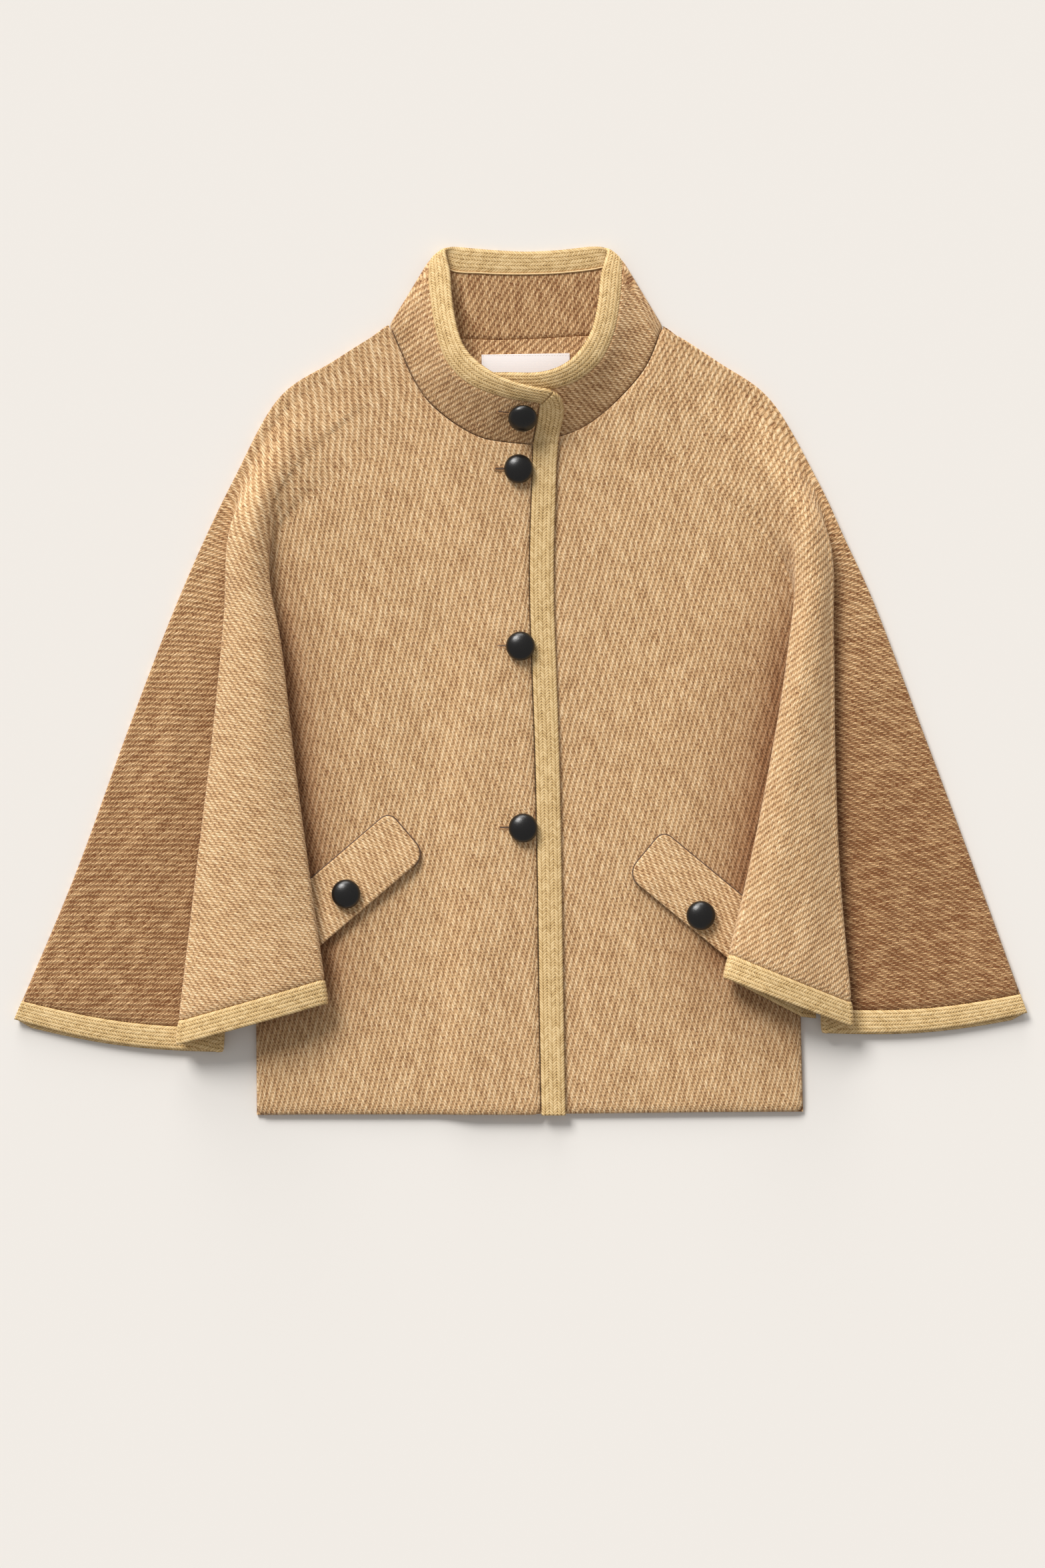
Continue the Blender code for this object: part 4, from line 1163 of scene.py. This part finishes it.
weave, places, folds = collar_weave(collar_points)
opened_and_shaded = np.where((places > folds[0]) * (places < folds[1]), COLLAR_OPENNESS_AND_SHADE["inside"],
                  COLLAR_OPENNESS_AND_SHADE["outside"])
collar = cloth_shell("cloth_collar", collar_points, CLOTH, weave,
                     openness_and_shade=opened_and_shaded[None, :] * np.ones((COLLAR_LINES, 1)))

# %% [markdown]
# ## The braid bindings
# The braid is sewn along each free edge: the front edge, the collar's rim and the sleeves'
# hems. A cord could be bent along a curve, but its strands would bunch at the corners. So each
# run is a strip between two edge lines, in steps of 0.6 mm, fine enough to raise every strand.


# %% A run of braid
STRAND_STEP = 0.62
ACROSS = 25
STRAND_RISE = 0.5
ROUND_SPREAD = 9.0


def rounded_line(points, spread):
    """A line with its sharp corners eased over a few millimetres. Its two ends stay put."""
    along = lengths_along(points)
    near = np.exp(-((along[:, None] - along[None, :]) / spread) ** 2)
    step = np.gradient(along)
    near = near * step[None, :]
    eased = near @ points / near.sum(axis=1)[:, None]
    ends = np.minimum(1.0, np.minimum(along, along[-1] - along) / (2.0 * spread))[:, None]
    return points + (eased - points) * ends


def plait_height(run, across):
    """The height of the strands: run in millimetres along, across from 0 to 1."""
    row_place = across * PLAIT_ROWS
    row = np.minimum(np.floor(row_place), PLAIT_ROWS - 1)
    in_row = (row_place - row) * 2.0 - 1.0
    way = (row % 2) * 2.0 - 1.0
    place = run / PLAIT_PITCH + in_row * way * PLAIT_LEAN * 0.5
    in_strand = (place - np.floor(place)) * 2.0 - 1.0
    return (1.0 - np.abs(in_strand) ** 2.4 * 0.7) * (1.0 - np.abs(in_row) ** 3.0 * 0.6)


def strip_faces(count):
    """The faces of a closed strip: its upper side, its lower side and its four edges."""
    faces = []
    shift = count * ACROSS
    for i in range(count - 1):
        for j in range(ACROSS - 1):
            a = i * ACROSS + j
            faces.append((a, a + 1, a + ACROSS + 1, a + ACROSS))
            faces.append((a + shift + ACROSS, a + shift + ACROSS + 1, a + shift + 1, a + shift))
    for i in range(count - 1):
        a, b = i * ACROSS, (i + 1) * ACROSS
        faces.append((b, b + shift, a + shift, a))
        a, b = a + ACROSS - 1, b + ACROSS - 1
        faces.append((a, a + shift, b + shift, b))
    for j in range(ACROSS - 1):
        faces.append((j + 1, j, j + shift, j + shift + 1))
        a = (count - 1) * ACROSS + j
        faces.append((a, a + 1, a + shift + 1, a + shift))
    return faces


def braid_strip(name, inner, outer, roundness=0.0):
    """A closed strip between two edge lines, with its strands raised on the upper face."""
    along = lengths_along((inner + outer) / 2)
    count = int(along[-1] / STRAND_STEP) + 1
    places = np.linspace(0.0, 1.0, count)
    share = along / along[-1]
    inner, outer = (np.stack([np.interp(places, share, line[:, k]) for k in range(3)], axis=1)
                    for line in (inner, outer))
    run = lengths_along((inner + outer) / 2)
    across = np.linspace(0.0, 1.0, ACROSS)
    grid = inner[:, None, :] * (1 - across)[None, :, None] + outer[:, None, :] * across[None, :, None]
    forward = np.gradient((inner + outer) / 2, axis=0)
    sideways = outer - inner
    normal = np.cross(forward, sideways)
    normal = normal / np.linalg.norm(normal, axis=1)[:, None]
    if normal[:, 2].mean() < 0:
        normal = -normal
    crown = BRAID / 2 * (1.0 - np.abs(2 * across - 1) ** 5 * 0.55)
    if np.ndim(roundness):
        roundness = np.interp(places, share, roundness)
    raised = np.sqrt(np.maximum(1.0 - np.abs(2 * across - 1) ** 2.2, 0.0)) - 0.45
    crown_top = crown[None, :] + np.asarray(roundness).reshape(-1, 1) * raised[None, :]
    relief = plait_height(run[:, None], across[None, :]) * STRAND_RISE
    ends = np.minimum(1.0, np.minimum(np.arange(count), np.arange(count)[::-1]) / 2.0 + 0.4)[:, None]
    top = grid + normal[:, None, :] * ((crown_top + relief - STRAND_RISE * 0.6) * ends)[:, :, None]
    low = grid - normal[:, None, :] * (crown[None, :] * ends)[:, :, None]
    points = np.concatenate([top.reshape(-1, 3), low.reshape(-1, 3)])
    strip = new_piece(name, (points * MM).tolist(), strip_faces(count))
    mesh = strip.data
    uv = np.zeros((len(points), 2))
    uv[:, 0] = np.tile(np.repeat(run, ACROSS), 2) * MM
    uv[:, 1] = np.tile(np.tile(across, count), 2)
    layer = mesh.uv_layers.new(name="weave")
    loops = np.zeros(len(mesh.loops), dtype=np.int64)
    mesh.loops.foreach_get("vertex_index", loops)
    layer.data.foreach_set("uv", uv[loops].astype(np.float32).ravel())
    bpy.ops.object.select_all(action="DESELECT")
    strip.select_set(True)
    bpy.context.view_layer.objects.active = strip
    bpy.ops.object.mode_set(mode="EDIT")
    bpy.ops.mesh.select_all(action="SELECT")
    bpy.ops.mesh.normals_make_consistent(inside=False)
    bpy.ops.object.mode_set(mode="OBJECT")
    mesh.shade_smooth()
    mesh.materials.append(braid)
    strip.select_set(False)
    print(name, "length:", round(run[-1]), "mm, faces:", len(mesh.polygons))
    return strip


def fine_cord(name, points, radius, material):
    """A round thread along a line of points. It has six sides."""
    points = np.array(points, dtype=float)
    ahead = np.gradient(points, axis=0)
    ahead /= np.linalg.norm(ahead, axis=1)[:, None]
    aside = np.cross(ahead, (0.0, 0.0, 1.0))
    aside /= np.linalg.norm(aside, axis=1)[:, None]
    above = np.cross(aside, ahead)
    count = len(points)
    corners, faces = [], []
    for k in range(6):
        c, s = math.cos(k * math.pi / 3), math.sin(k * math.pi / 3)
        corners.extend(((points + radius * (c * aside + s * above)) * MM).tolist())
    for k in range(6):
        here, other = k * count, (k + 1) % 6 * count
        faces.extend((here + i, here + i + 1, other + i + 1, other + i) for i in range(count - 1))
    faces.append(tuple(k * count for k in range(6)))
    faces.append(tuple(k * count + count - 1 for k in reversed(range(6))))
    piece = new_piece(name, corners, faces)
    piece.data.shade_smooth()
    piece.data.materials.append(material)
    return piece


# %% [markdown]
# The rim's braid starts at a mitre, where it meets the braid of the front edge. Its first
# points are listed there, and the others are read from the collar's own lines.

# %% The braid round the collar
RIM_COUNT = 241
RIM_ROUNDNESS = 1.6
rim = collar_grid([("rim", 0.0), ("rim", 1.0)], RIM_COUNT)
mitre_inner = [(16.4, 238.9, 29.6), (16.2, 239.5, 30.1)]
mitre_outer = [(28.6, 249.9, 35.4), (23.2, 251.7, 37.6)]
rim_inner = rounded_line(np.vstack([mitre_inner, rim[0]]), 3.0)
rim_outer = rounded_line(np.vstack([mitre_outer, rim[1]]), ROUND_SPREAD)
collar_braid = braid_strip("braid_collar", rim_inner, rim_outer, RIM_ROUNDNESS)

# %% [markdown]
# A fine piping shows below this braid, inside the collar. It runs from side fold to side fold.

# %% The fine piping
PIPING_RADIUS = 0.8
PIPING_SHIFT = (0.0, -0.7, CLOTH / 2 + 0.4)
PIPING_ENDS = 0.018
rim_places = np.linspace(0.0, 1.0, RIM_COUNT)
behind_neck = (rim_places > folds[0] + PIPING_ENDS) & (rim_places < folds[1] - PIPING_ENDS)
piping = fine_cord("braid_piping", rim[0][behind_neck] + PIPING_SHIFT, PIPING_RADIUS, golden_thread)
print("piping faces:", len(piping.data.polygons))

# %% [markdown]
# The braid of the front edge starts at the same mitre, goes down the collar's end and then
# follows the edge of the cloth. Each pair below is a place on its inner and its outer edge.

# %% The braid on the front edge
COLLAR_END = [
    ((16.4, 238.7, 29.4), (28.9, 249.7, 35.2)),
    ((16.2, 237.0, 28.2), (33.2, 247.0, 32.8)),
    ((15.9, 235.0, 26.8), (36.2, 243.0, 29.6)),
    ((15.4, 231.5, 24.4), (37.7, 237.5, 25.4)),
    ((14.7, 227.0, 21.6), (37.8, 231.0, 21.0)),
    ((13.4, 219.0, 16.6), (35.6, 221.0, 15.4)),
    ((12.0, 212.0, 12.6), (33.9, 213.5, 11.8)),
    ((10.9, 206.0, 9.8), (33.0, 206.5, 9.8)),
]
edge_line = right_rows[3:, 0]
placket_inner, placket_outer = (
    np.array([pair[which] for pair in COLLAR_END] + [(x + shift, y, z) for x, y, z in edge_line])
    for which, shift in ((0, SEAM_GAP), (1, SEAM_GAP + PLACKET_WIDTH)))
placket_places = lengths_along((placket_inner + placket_outer) / 2)
roundness = np.interp(placket_places, (0.0, 30.0, 60.0), (RIM_ROUNDNESS, 0.6, 0.0))
placket_braid = braid_strip("braid_placket", placket_inner, placket_outer, roundness)

# %% [markdown]
# Each sleeve has one run of braid on its front, folded with the lobe, and one on its back.

# %% The braids on the sleeves
# The braid laps a little over the hem, and is narrower at the sleeve's outer end
HEM_LAP = -0.9
HEM_WIDTH, HEM_END_WIDTH = BRAID_WIDTH + 1.3, BRAID_WIDTH - 2.7
BACK_END_WIDTH = BRAID_WIDTH - 4.0


def hem_lines(rows, start, gap, width, edge_width):
    """The two edge lines of the braid past the sleeve's hem."""
    last = rows[-1][start:]
    down = last - rows[-2][start:]
    down[:, 2] = 0.0
    down = down / np.linalg.norm(down, axis=1)[:, None]
    share = np.linspace(0.0, 1.0, len(last))[:, None] ** 6
    reach = width * (1 - share) + edge_width * share
    return last + down * gap, last + down * (gap + reach)


def back_hem_lines(rows):
    """The two edge lines of the braid on the hem of the sleeve's back."""
    line = back_hem(rows)
    down = np.repeat(np.array([(0.25 if rows[-1, -1, 0] > 0 else -0.25, -1.0)]), len(line), axis=0)
    down[1:, 0] *= np.linspace(0.7, 0.0, len(line) - 1)
    down = down / np.linalg.norm(down, axis=1)[:, None]
    reach = np.full((len(line), 1), BRAID_WIDTH)
    reach[0] = BACK_END_WIDTH
    flat = np.full((len(line), 1), BRAID / 2)
    upper = np.hstack([line + down * SEAM_GAP, flat])
    lower = np.hstack([line + down * (SEAM_GAP + reach), flat])
    return upper, lower


sleeve_braids = {}
for side, rows in (("right", right_rows), ("left", left_rows)):
    front_lines = hem_lines(rows, SLIT_COLUMN + 1, HEM_LAP, HEM_WIDTH, HEM_END_WIDTH)
    for where, lines in (("", front_lines), ("back_", back_hem_lines(rows))):
        strip = braid_strip("braid_sleeve_" + where + side, *lines)
        sleeve_braids["sleeve_braid_" + where + side] = strip

# %% [markdown]
# ## Pocket flaps
# Each flap is a small slanted piece with rounded corners, lying on the body. It is cut from
# the same wool, with an edge seam turned in and pressed. A bevelled box could give the outline,
# but a grid also takes the pressed groove and the lifted lower edge.

# %% Flaps
FLAP_STEPS = (60, 24)
FLAP_LIFT = 3.6
FLAP_CLOTH = CLOTH - 0.4
FLAP_GRAIN = {"right": 140.0, "left": 141.0}
# The side of the flap's middle line on which its free lower edge lies
FLAP_LOWER = {"right": 1.0, "left": -1.0}
# The lower corner at the inner end is rounder by so many mm
FLAP_ROUNDER = 5.0
# The grid's lines are spread a little towards the flap's edges, along and across it
FLAP_EASE = (0.92, 0.85)
GROOVE_IN, GROOVE_WIDTH, GROOVE_DEPTH = 4.5, 1.5, 0.5
PRESSED_WIDTH, PRESSED_DEPTH = 1.2, 0.7
SEAM_RADIUS, SEAM_STEP, SEAM_END = 0.6, 2.0, 4.0
SEAM_OUT, SEAM_SUNK = 0.3, 0.5


def on_flap(side, along, across):
    """A place on a flap, from its distance along from the inner end and across its middle line."""
    x, y = FLAP_SPOTS[side]["inner_end"]
    angle = math.radians(FLAP_SPOTS[side]["angle"])
    return (x + along * math.cos(angle) - across * math.sin(angle),
            y + along * math.sin(angle) + across * math.cos(angle))


def flap_height(side, along, across, width):
    """The middle of the flap's cloth. Its upper edge is sewn down and its lower edge stands off."""
    down = 0.5 + 0.5 * FLAP_LOWER[side] * across / (width / 2)
    inner = smooth_step(0.0, 22.0, along)
    lift = FLAP_LIFT * (0.25 + 0.75 * inner) * smooth_step(0.0, 1.0, down)
    return float(Z_FRONT + CLOTH + SEAM_GAP + 1.4 + lift)


def make_flap(side, spot):
    """A grid pulled into a rounded outline, with a pressed edge and a shallow groove inside it."""
    length, width = FLAP_LENGTH, spot["width"]
    columns, lines = FLAP_STEPS
    grid = np.zeros((lines + 1, columns + 1, 3))
    for i in range(lines + 1):
        for j in range(columns + 1):
            a, b = (math.copysign(abs(share) ** ease, share)
                    for share, ease in zip((2 * j / columns - 1, 2 * i / lines - 1), FLAP_EASE))
            x, y = a * length / 2, b * width / 2
            reach_x, reach_y = length / 2 - abs(x), width / 2 - abs(y)
            corner = FLAP_CORNER + (FLAP_ROUNDER if x < 0 < y * FLAP_LOWER[side] else 0.0)
            corner_x, corner_y = max(corner - reach_x, 0.0), max(corner - reach_y, 0.0)
            if min(corner_x, corner_y) > 0:
                pull = max(corner_x, corner_y) / math.hypot(corner_x, corner_y)
                x -= math.copysign(corner_x * (1 - pull), x)
                y -= math.copysign(corner_y * (1 - pull), y)
            inside = min(reach_x, reach_y)
            groove = -GROOVE_DEPTH * math.exp(-((inside - GROOVE_IN) / GROOVE_WIDTH) ** 2)
            edge = -PRESSED_DEPTH * math.exp(-(inside / PRESSED_WIDTH) ** 2)
            along = x + length / 2
            height = flap_height(side, along, y, width) + groove + edge
            grid[i, j] = (*on_flap(side, along, y), height)

    def weave(i, j, place):
        return turned(*grid[place][:2], FLAP_GRAIN[side])

    return cloth_shell("cloth_flap_" + side, grid, FLAP_CLOTH, weave)


def flap_seam_shadow(side, spot):
    """A dark cord sunk round a flap's sewn upper edge and its inner end: painted shadow in the crack of the
    seam.
    """
    half, end = spot["width"] / 2 + SEAM_OUT, FLAP_LENGTH - SEAM_END
    path = [(end - k * SEAM_STEP, -half) for k in range(int((end - FLAP_CORNER) / SEAM_STEP))]
    big = FLAP_CORNER + FLAP_ROUNDER
    for radius, centre, start in ((FLAP_CORNER, -half + FLAP_CORNER, -90), (big, half - big, -180)):
        for turn in np.radians(np.linspace(start, start - 90, 9)):
            path.append((radius - SEAM_OUT + radius * math.cos(turn), centre + radius * math.sin(turn)))
    points = []
    for along, across in path:
        across *= FLAP_LOWER[side]
        height = flap_height(side, max(along, 0.0), across, spot["width"])
        points.append((*on_flap(side, along, across), height - SEAM_SUNK))
    return fine_cord("flap_seam_shadow_" + side, points, SEAM_RADIUS, shadow_thread)


flaps = {side: make_flap(side, spot) for side, spot in FLAP_SPOTS.items()}
flap_seam_shadows = [flap_seam_shadow(side, spot) for side, spot in FLAP_SPOTS.items()]

# %% [markdown]
# ## Buttons
# The buttons are leather-covered domes on a short foot. One is modelled from a ring that is
# extruded and scaled step by step up the dome, and the other five are copies of it.

# %% One button
RIM_STEPS = [(1.0, 0.36), (0.985, 0.47), (0.93, 0.60), (0.84, 0.71), (0.72, 0.80), (0.56, 0.885),
             (0.40, 0.945), (0.22, 0.985), (0.08, 0.998)]
UNDER_STEPS = [(0.975, 0.27), (0.90, 0.19), (0.70, 0.13), (0.38, 0.12), (0.33, 0.0)]


def ring_up(steps, radius, height, start):
    """Extrude the selected ring and bring it to each step's width and height."""
    wide, high = start
    for next_wide, next_high in steps:
        bpy.ops.mesh.extrude_region_move()
        bpy.ops.transform.translate(value=(0.0, 0.0, (next_high - high) * height))
        scale = next_wide / wide
        bpy.ops.transform.resize(value=(scale, scale, 1.0), center_override=(0.0, 0.0, 0.0))
        wide, high = next_wide, next_high


def model_button():
    """A dome built up from its rim, then closed below with a short foot."""
    radius, height = BUTTON_DIAMETER / 2 * MM, BUTTON_HEIGHT * MM
    bpy.ops.object.select_all(action="DESELECT")
    bpy.ops.mesh.primitive_circle_add(vertices=48, radius=radius, fill_type="NOTHING",
                                      location=(0.0, 0.0, 0.0))
    dome = bpy.context.object
    bpy.ops.object.mode_set(mode="EDIT")
    bpy.ops.mesh.select_all(action="SELECT")
    bpy.ops.transform.translate(value=(0.0, 0.0, RIM_STEPS[0][1] * height))
    ring_up(RIM_STEPS[1:], radius, height, RIM_STEPS[0])
    bpy.ops.mesh.merge(type="CENTER")
    bpy.ops.mesh.select_all(action="DESELECT")
    bpy.ops.object.mode_set(mode="OBJECT")
    for vertex in dome.data.vertices:
        vertex.select = abs(math.hypot(vertex.co.x, vertex.co.y) - radius) < 1e-6
    for edge in dome.data.edges:
        edge.select = all(dome.data.vertices[v].select for v in edge.vertices)
    bpy.ops.object.mode_set(mode="EDIT")
    ring_up(UNDER_STEPS, radius, height, RIM_STEPS[0])
    bpy.ops.mesh.edge_face_add()
    bpy.ops.mesh.select_all(action="SELECT")
    bpy.ops.mesh.normals_make_consistent(inside=False)
    bpy.ops.object.mode_set(mode="OBJECT")
    bpy.ops.object.shade_smooth()
    dome.data.materials.append(leather)
    return dome


first_button = model_button()
print("button faces:", len(first_button.data.polygons))


# %% [markdown]
# The front buttons stand level on the raised edge, the flaps' on the flaps, and the collar's
# leans with the collar's end.

# %% Six buttons
def place_button(name, foot, tilt=0.0):
    """A copy of the first button, stood on its foot and leaned with the cloth."""
    copy = bpy.data.objects.new(name, first_button.data.copy())
    bpy.context.scene.collection.objects.link(copy)
    copy.data.transform(Matrix.Translation(Vector(foot) * MM) @ Matrix.Rotation(tilt, 4, "X"))
    return copy


buttons = {}
top_of_placket = Z_FRONT + PLACKET_LIFT + CLOTH / 2 + SEAM_GAP
for name, (x, y) in BUTTON_SPOTS.items():
    buttons[name] = place_button("dome_" + name, (x, y, top_of_placket))
for side, spot in FLAP_SPOTS.items():
    along, across = spot["button_along"], spot["button_across"]
    height = flap_height(side, along, across, spot["width"]) + CLOTH / 2
    name = "button_flap_" + side
    buttons[name] = place_button("dome_" + name, (*on_flap(side, along, across), height))
end = COLLAR_STATIONS[0]
share = (COLLAR_BUTTON_Y - end[1]) / (end[4] - end[1])
slope = math.atan2(end[5] - end[2], end[4] - end[1])
lift = CLOTH / 2 + SEAM_GAP + 0.2
foot = (COLLAR_BUTTON_X, COLLAR_BUTTON_Y - lift * math.sin(slope),
        end[2] + (end[5] - end[2]) * share + lift * math.cos(slope))
buttons["button_collar"] = place_button("dome_button_collar", foot, slope)
bpy.data.objects.remove(first_button)
print("buttons:", len(buttons))

# %% [markdown]
# ## Buttonholes
# Beside each button of the front and the collar, the end of a worked buttonhole shows: a slit
# filled with dark beads as painted shadow, and a rim of fine thread. One stitch is modelled as a
# tiny bead and copied round it.

# %% Slits and stitches
SLIT_LENGTH, SLIT_WIDTH = 23.0, 1.5
SLIT_PAST_BUTTON = 9.0
SLIT_EVERY, STITCH_EVERY = 0.6, 1.15
SLIT_SUNK = 0.25
STITCH_OFF, STITCH_LEAN = 0.75, 0.25
END_STITCHES = 5


def model_bead(name, length, radius):
    """One stitch: a small bead, longer than it is thick."""
    bpy.ops.mesh.primitive_uv_sphere_add(segments=8, ring_count=5, radius=radius, location=(0.0, 0.0, 0.0))
    bead = bpy.context.object
    bead.name = name
    bpy.ops.object.mode_set(mode="EDIT")
    bpy.ops.mesh.select_all(action="SELECT")
    bpy.ops.transform.resize(value=(length / (2 * radius), 1.0, 0.7))
    bpy.ops.object.mode_set(mode="OBJECT")
    return bead


def copies_along(name, model, places, material):
    """One mesh made of a model copied to each place: a point and a turn about Z."""
    corners = np.array([v.co[:] for v in model.data.vertices])
    shapes = [tuple(p.vertices) for p in model.data.polygons]
    points, faces = [], []
    for (x, y, z), turn in places:
        c, s = math.cos(turn), math.sin(turn)
        base = len(points)
        for px, py, pz in corners:
            points.append((x * MM + px * c - py * s, y * MM + px * s + py * c, z * MM + pz))
        faces.extend(tuple(base + k for k in shape) for shape in shapes)
    piece = new_piece(name, points, faces)
    piece.data.shade_smooth()
    piece.data.materials.append(material)
    return piece


# Each hole: its place beside the button, its height, and how much it leans with the collar
front_top = Z_FRONT + PLACKET_LIFT + CLOTH / 2
holes = [(x - 5.6, y + 0.3, front_top + 0.45, 0.0) for x, y in BUTTON_SPOTS.values()]
holes.append((COLLAR_BUTTON_X - 6.6, COLLAR_BUTTON_Y + 1.0, foot[2] + 0.2, -0.09))
places, slits = [], []
for x, y, z, lean in holes:
    left = x - SLIT_LENGTH + SLIT_PAST_BUTTON
    for run in np.arange(int(SLIT_LENGTH / SLIT_EVERY) + 1) * SLIT_EVERY:
        slits.append(((left + run, y + (run - SLIT_LENGTH) * lean, z - SLIT_SUNK), 0.0))
    for run in np.arange(int(SLIT_LENGTH / STITCH_EVERY) + 1) * STITCH_EVERY:
        for way in (1, -1):
            beside = (run - SLIT_LENGTH) * lean + way * (SLIT_WIDTH / 2 + STITCH_OFF)
            places.append(((left + run, y + beside, z), math.pi / 2 + STITCH_LEAN * way))
    for k in range(END_STITCHES):
        turn = math.pi / 2 + math.pi * k / (END_STITCHES - 1)
        end_y = y - SLIT_LENGTH * lean + SLIT_WIDTH * math.sin(turn)
        places.append(((left + SLIT_WIDTH * math.cos(turn), end_y, z), turn))
bead = model_bead("bead", 1.7 * MM, 0.42 * MM)
hole_stitches = copies_along("buttonhole_stitches", bead, places, thread)
# The slit's dark beads are painted shadow in the opening
slit_shadow_bead = model_bead("slit_shadow_bead", 1.9 * MM, 0.62 * MM)
hole_slit_shadows = copies_along("buttonhole_slit_shadows", slit_shadow_bead, slits, shadow_thread)
print("buttonhole stitches:", len(places))

# %% [markdown]
# Tiny stitches hold the label at its upper edge and at both ends. They could be painted on the
# satin, but a small bead catches the light like the rest of the sewing.

# %% Stitches on the label
LABEL_STITCH_EVERY, LABEL_STITCH_IN = 2.4, 1.2
tiny = model_bead("tiny", 1.5 * MM, 0.18 * MM)
half_x, half_y = LABEL_SIZE[0] / 2 - LABEL_STITCH_IN, LABEL_SIZE[1] / 2 - LABEL_STITCH_IN
label_x, label_y = LABEL_CENTRE
label_top = CLOTH + SEAM_GAP + 1.05
label_places = [((label_x + x, label_y + half_y, label_top), 0.0)
                for x in np.arange(-half_x, half_x, LABEL_STITCH_EVERY)]
label_places += [((label_x + way * half_x, label_y + y, label_top), math.pi / 2)
                 for y in np.arange(-half_y, half_y, LABEL_STITCH_EVERY) for way in (1, -1)]
label_stitches = copies_along("label_stitches", tiny, label_places, satin)
for model in (bead, slit_shadow_bead, tiny):
    bpy.data.objects.remove(model)
print("label stitches:", len(label_places))

# %% [markdown]
# ## Label
# A bare satin label is sewn inside the back of the neck. It is left without any lettering.

# %% Label
length, height, thickness = LABEL_SIZE
turn = math.radians(LABEL_TURN)
corners = [(label_x + cx * length * math.cos(turn) - cy * height * math.sin(turn),
            label_y + cx * length * math.sin(turn) + cy * height * math.cos(turn))
           for cx, cy in ((-0.5, -0.5), (0.5, -0.5), (0.5, 0.5), (-0.5, 0.5))]
bottom = CLOTH + SEAM_GAP
label = cut_piece("satin_label", corners, bottom, bottom + thickness, 0.0, satin, 0.5)

# %% [markdown]
# ## Put it together
# Each dressed piece takes the place of its solid and rides on the cape's one body.

# %% Ties to the solids
stands_for = [(back, "back", "wool"), (collar, "collar", "wool"), (label, "label", "label"),
              (collar_braid, "collar_braid", "braid"), (placket_braid, "placket_braid", "braid")]
stands_for += [(piece, "front_" + side, "wool") for side, piece in fronts.items()]
stands_for += [(piece, node, "braid") for node, piece in sleeve_braids.items()]
stands_for += [(piece, "flap_" + side, "wool") for side, piece in flaps.items()]
stands_for += [(piece, node, "button") for node, piece in buttons.items()]
for piece, node, slot in stands_for:
    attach(piece, "root")
    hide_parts(node)
# Stitches, and the dark beads and cords of painted shadow, ride on the body too
sewing_and_shadow_cords = [(piece, "wool") for piece in (hole_stitches, hole_slit_shadows, *flap_seam_shadows)]
for piece, slot in [*sewing_and_shadow_cords, (label_stitches, "label"), (piping, "braid")]:
    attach(piece, "root")

print("pieces that stand for a solid:", len(stands_for))
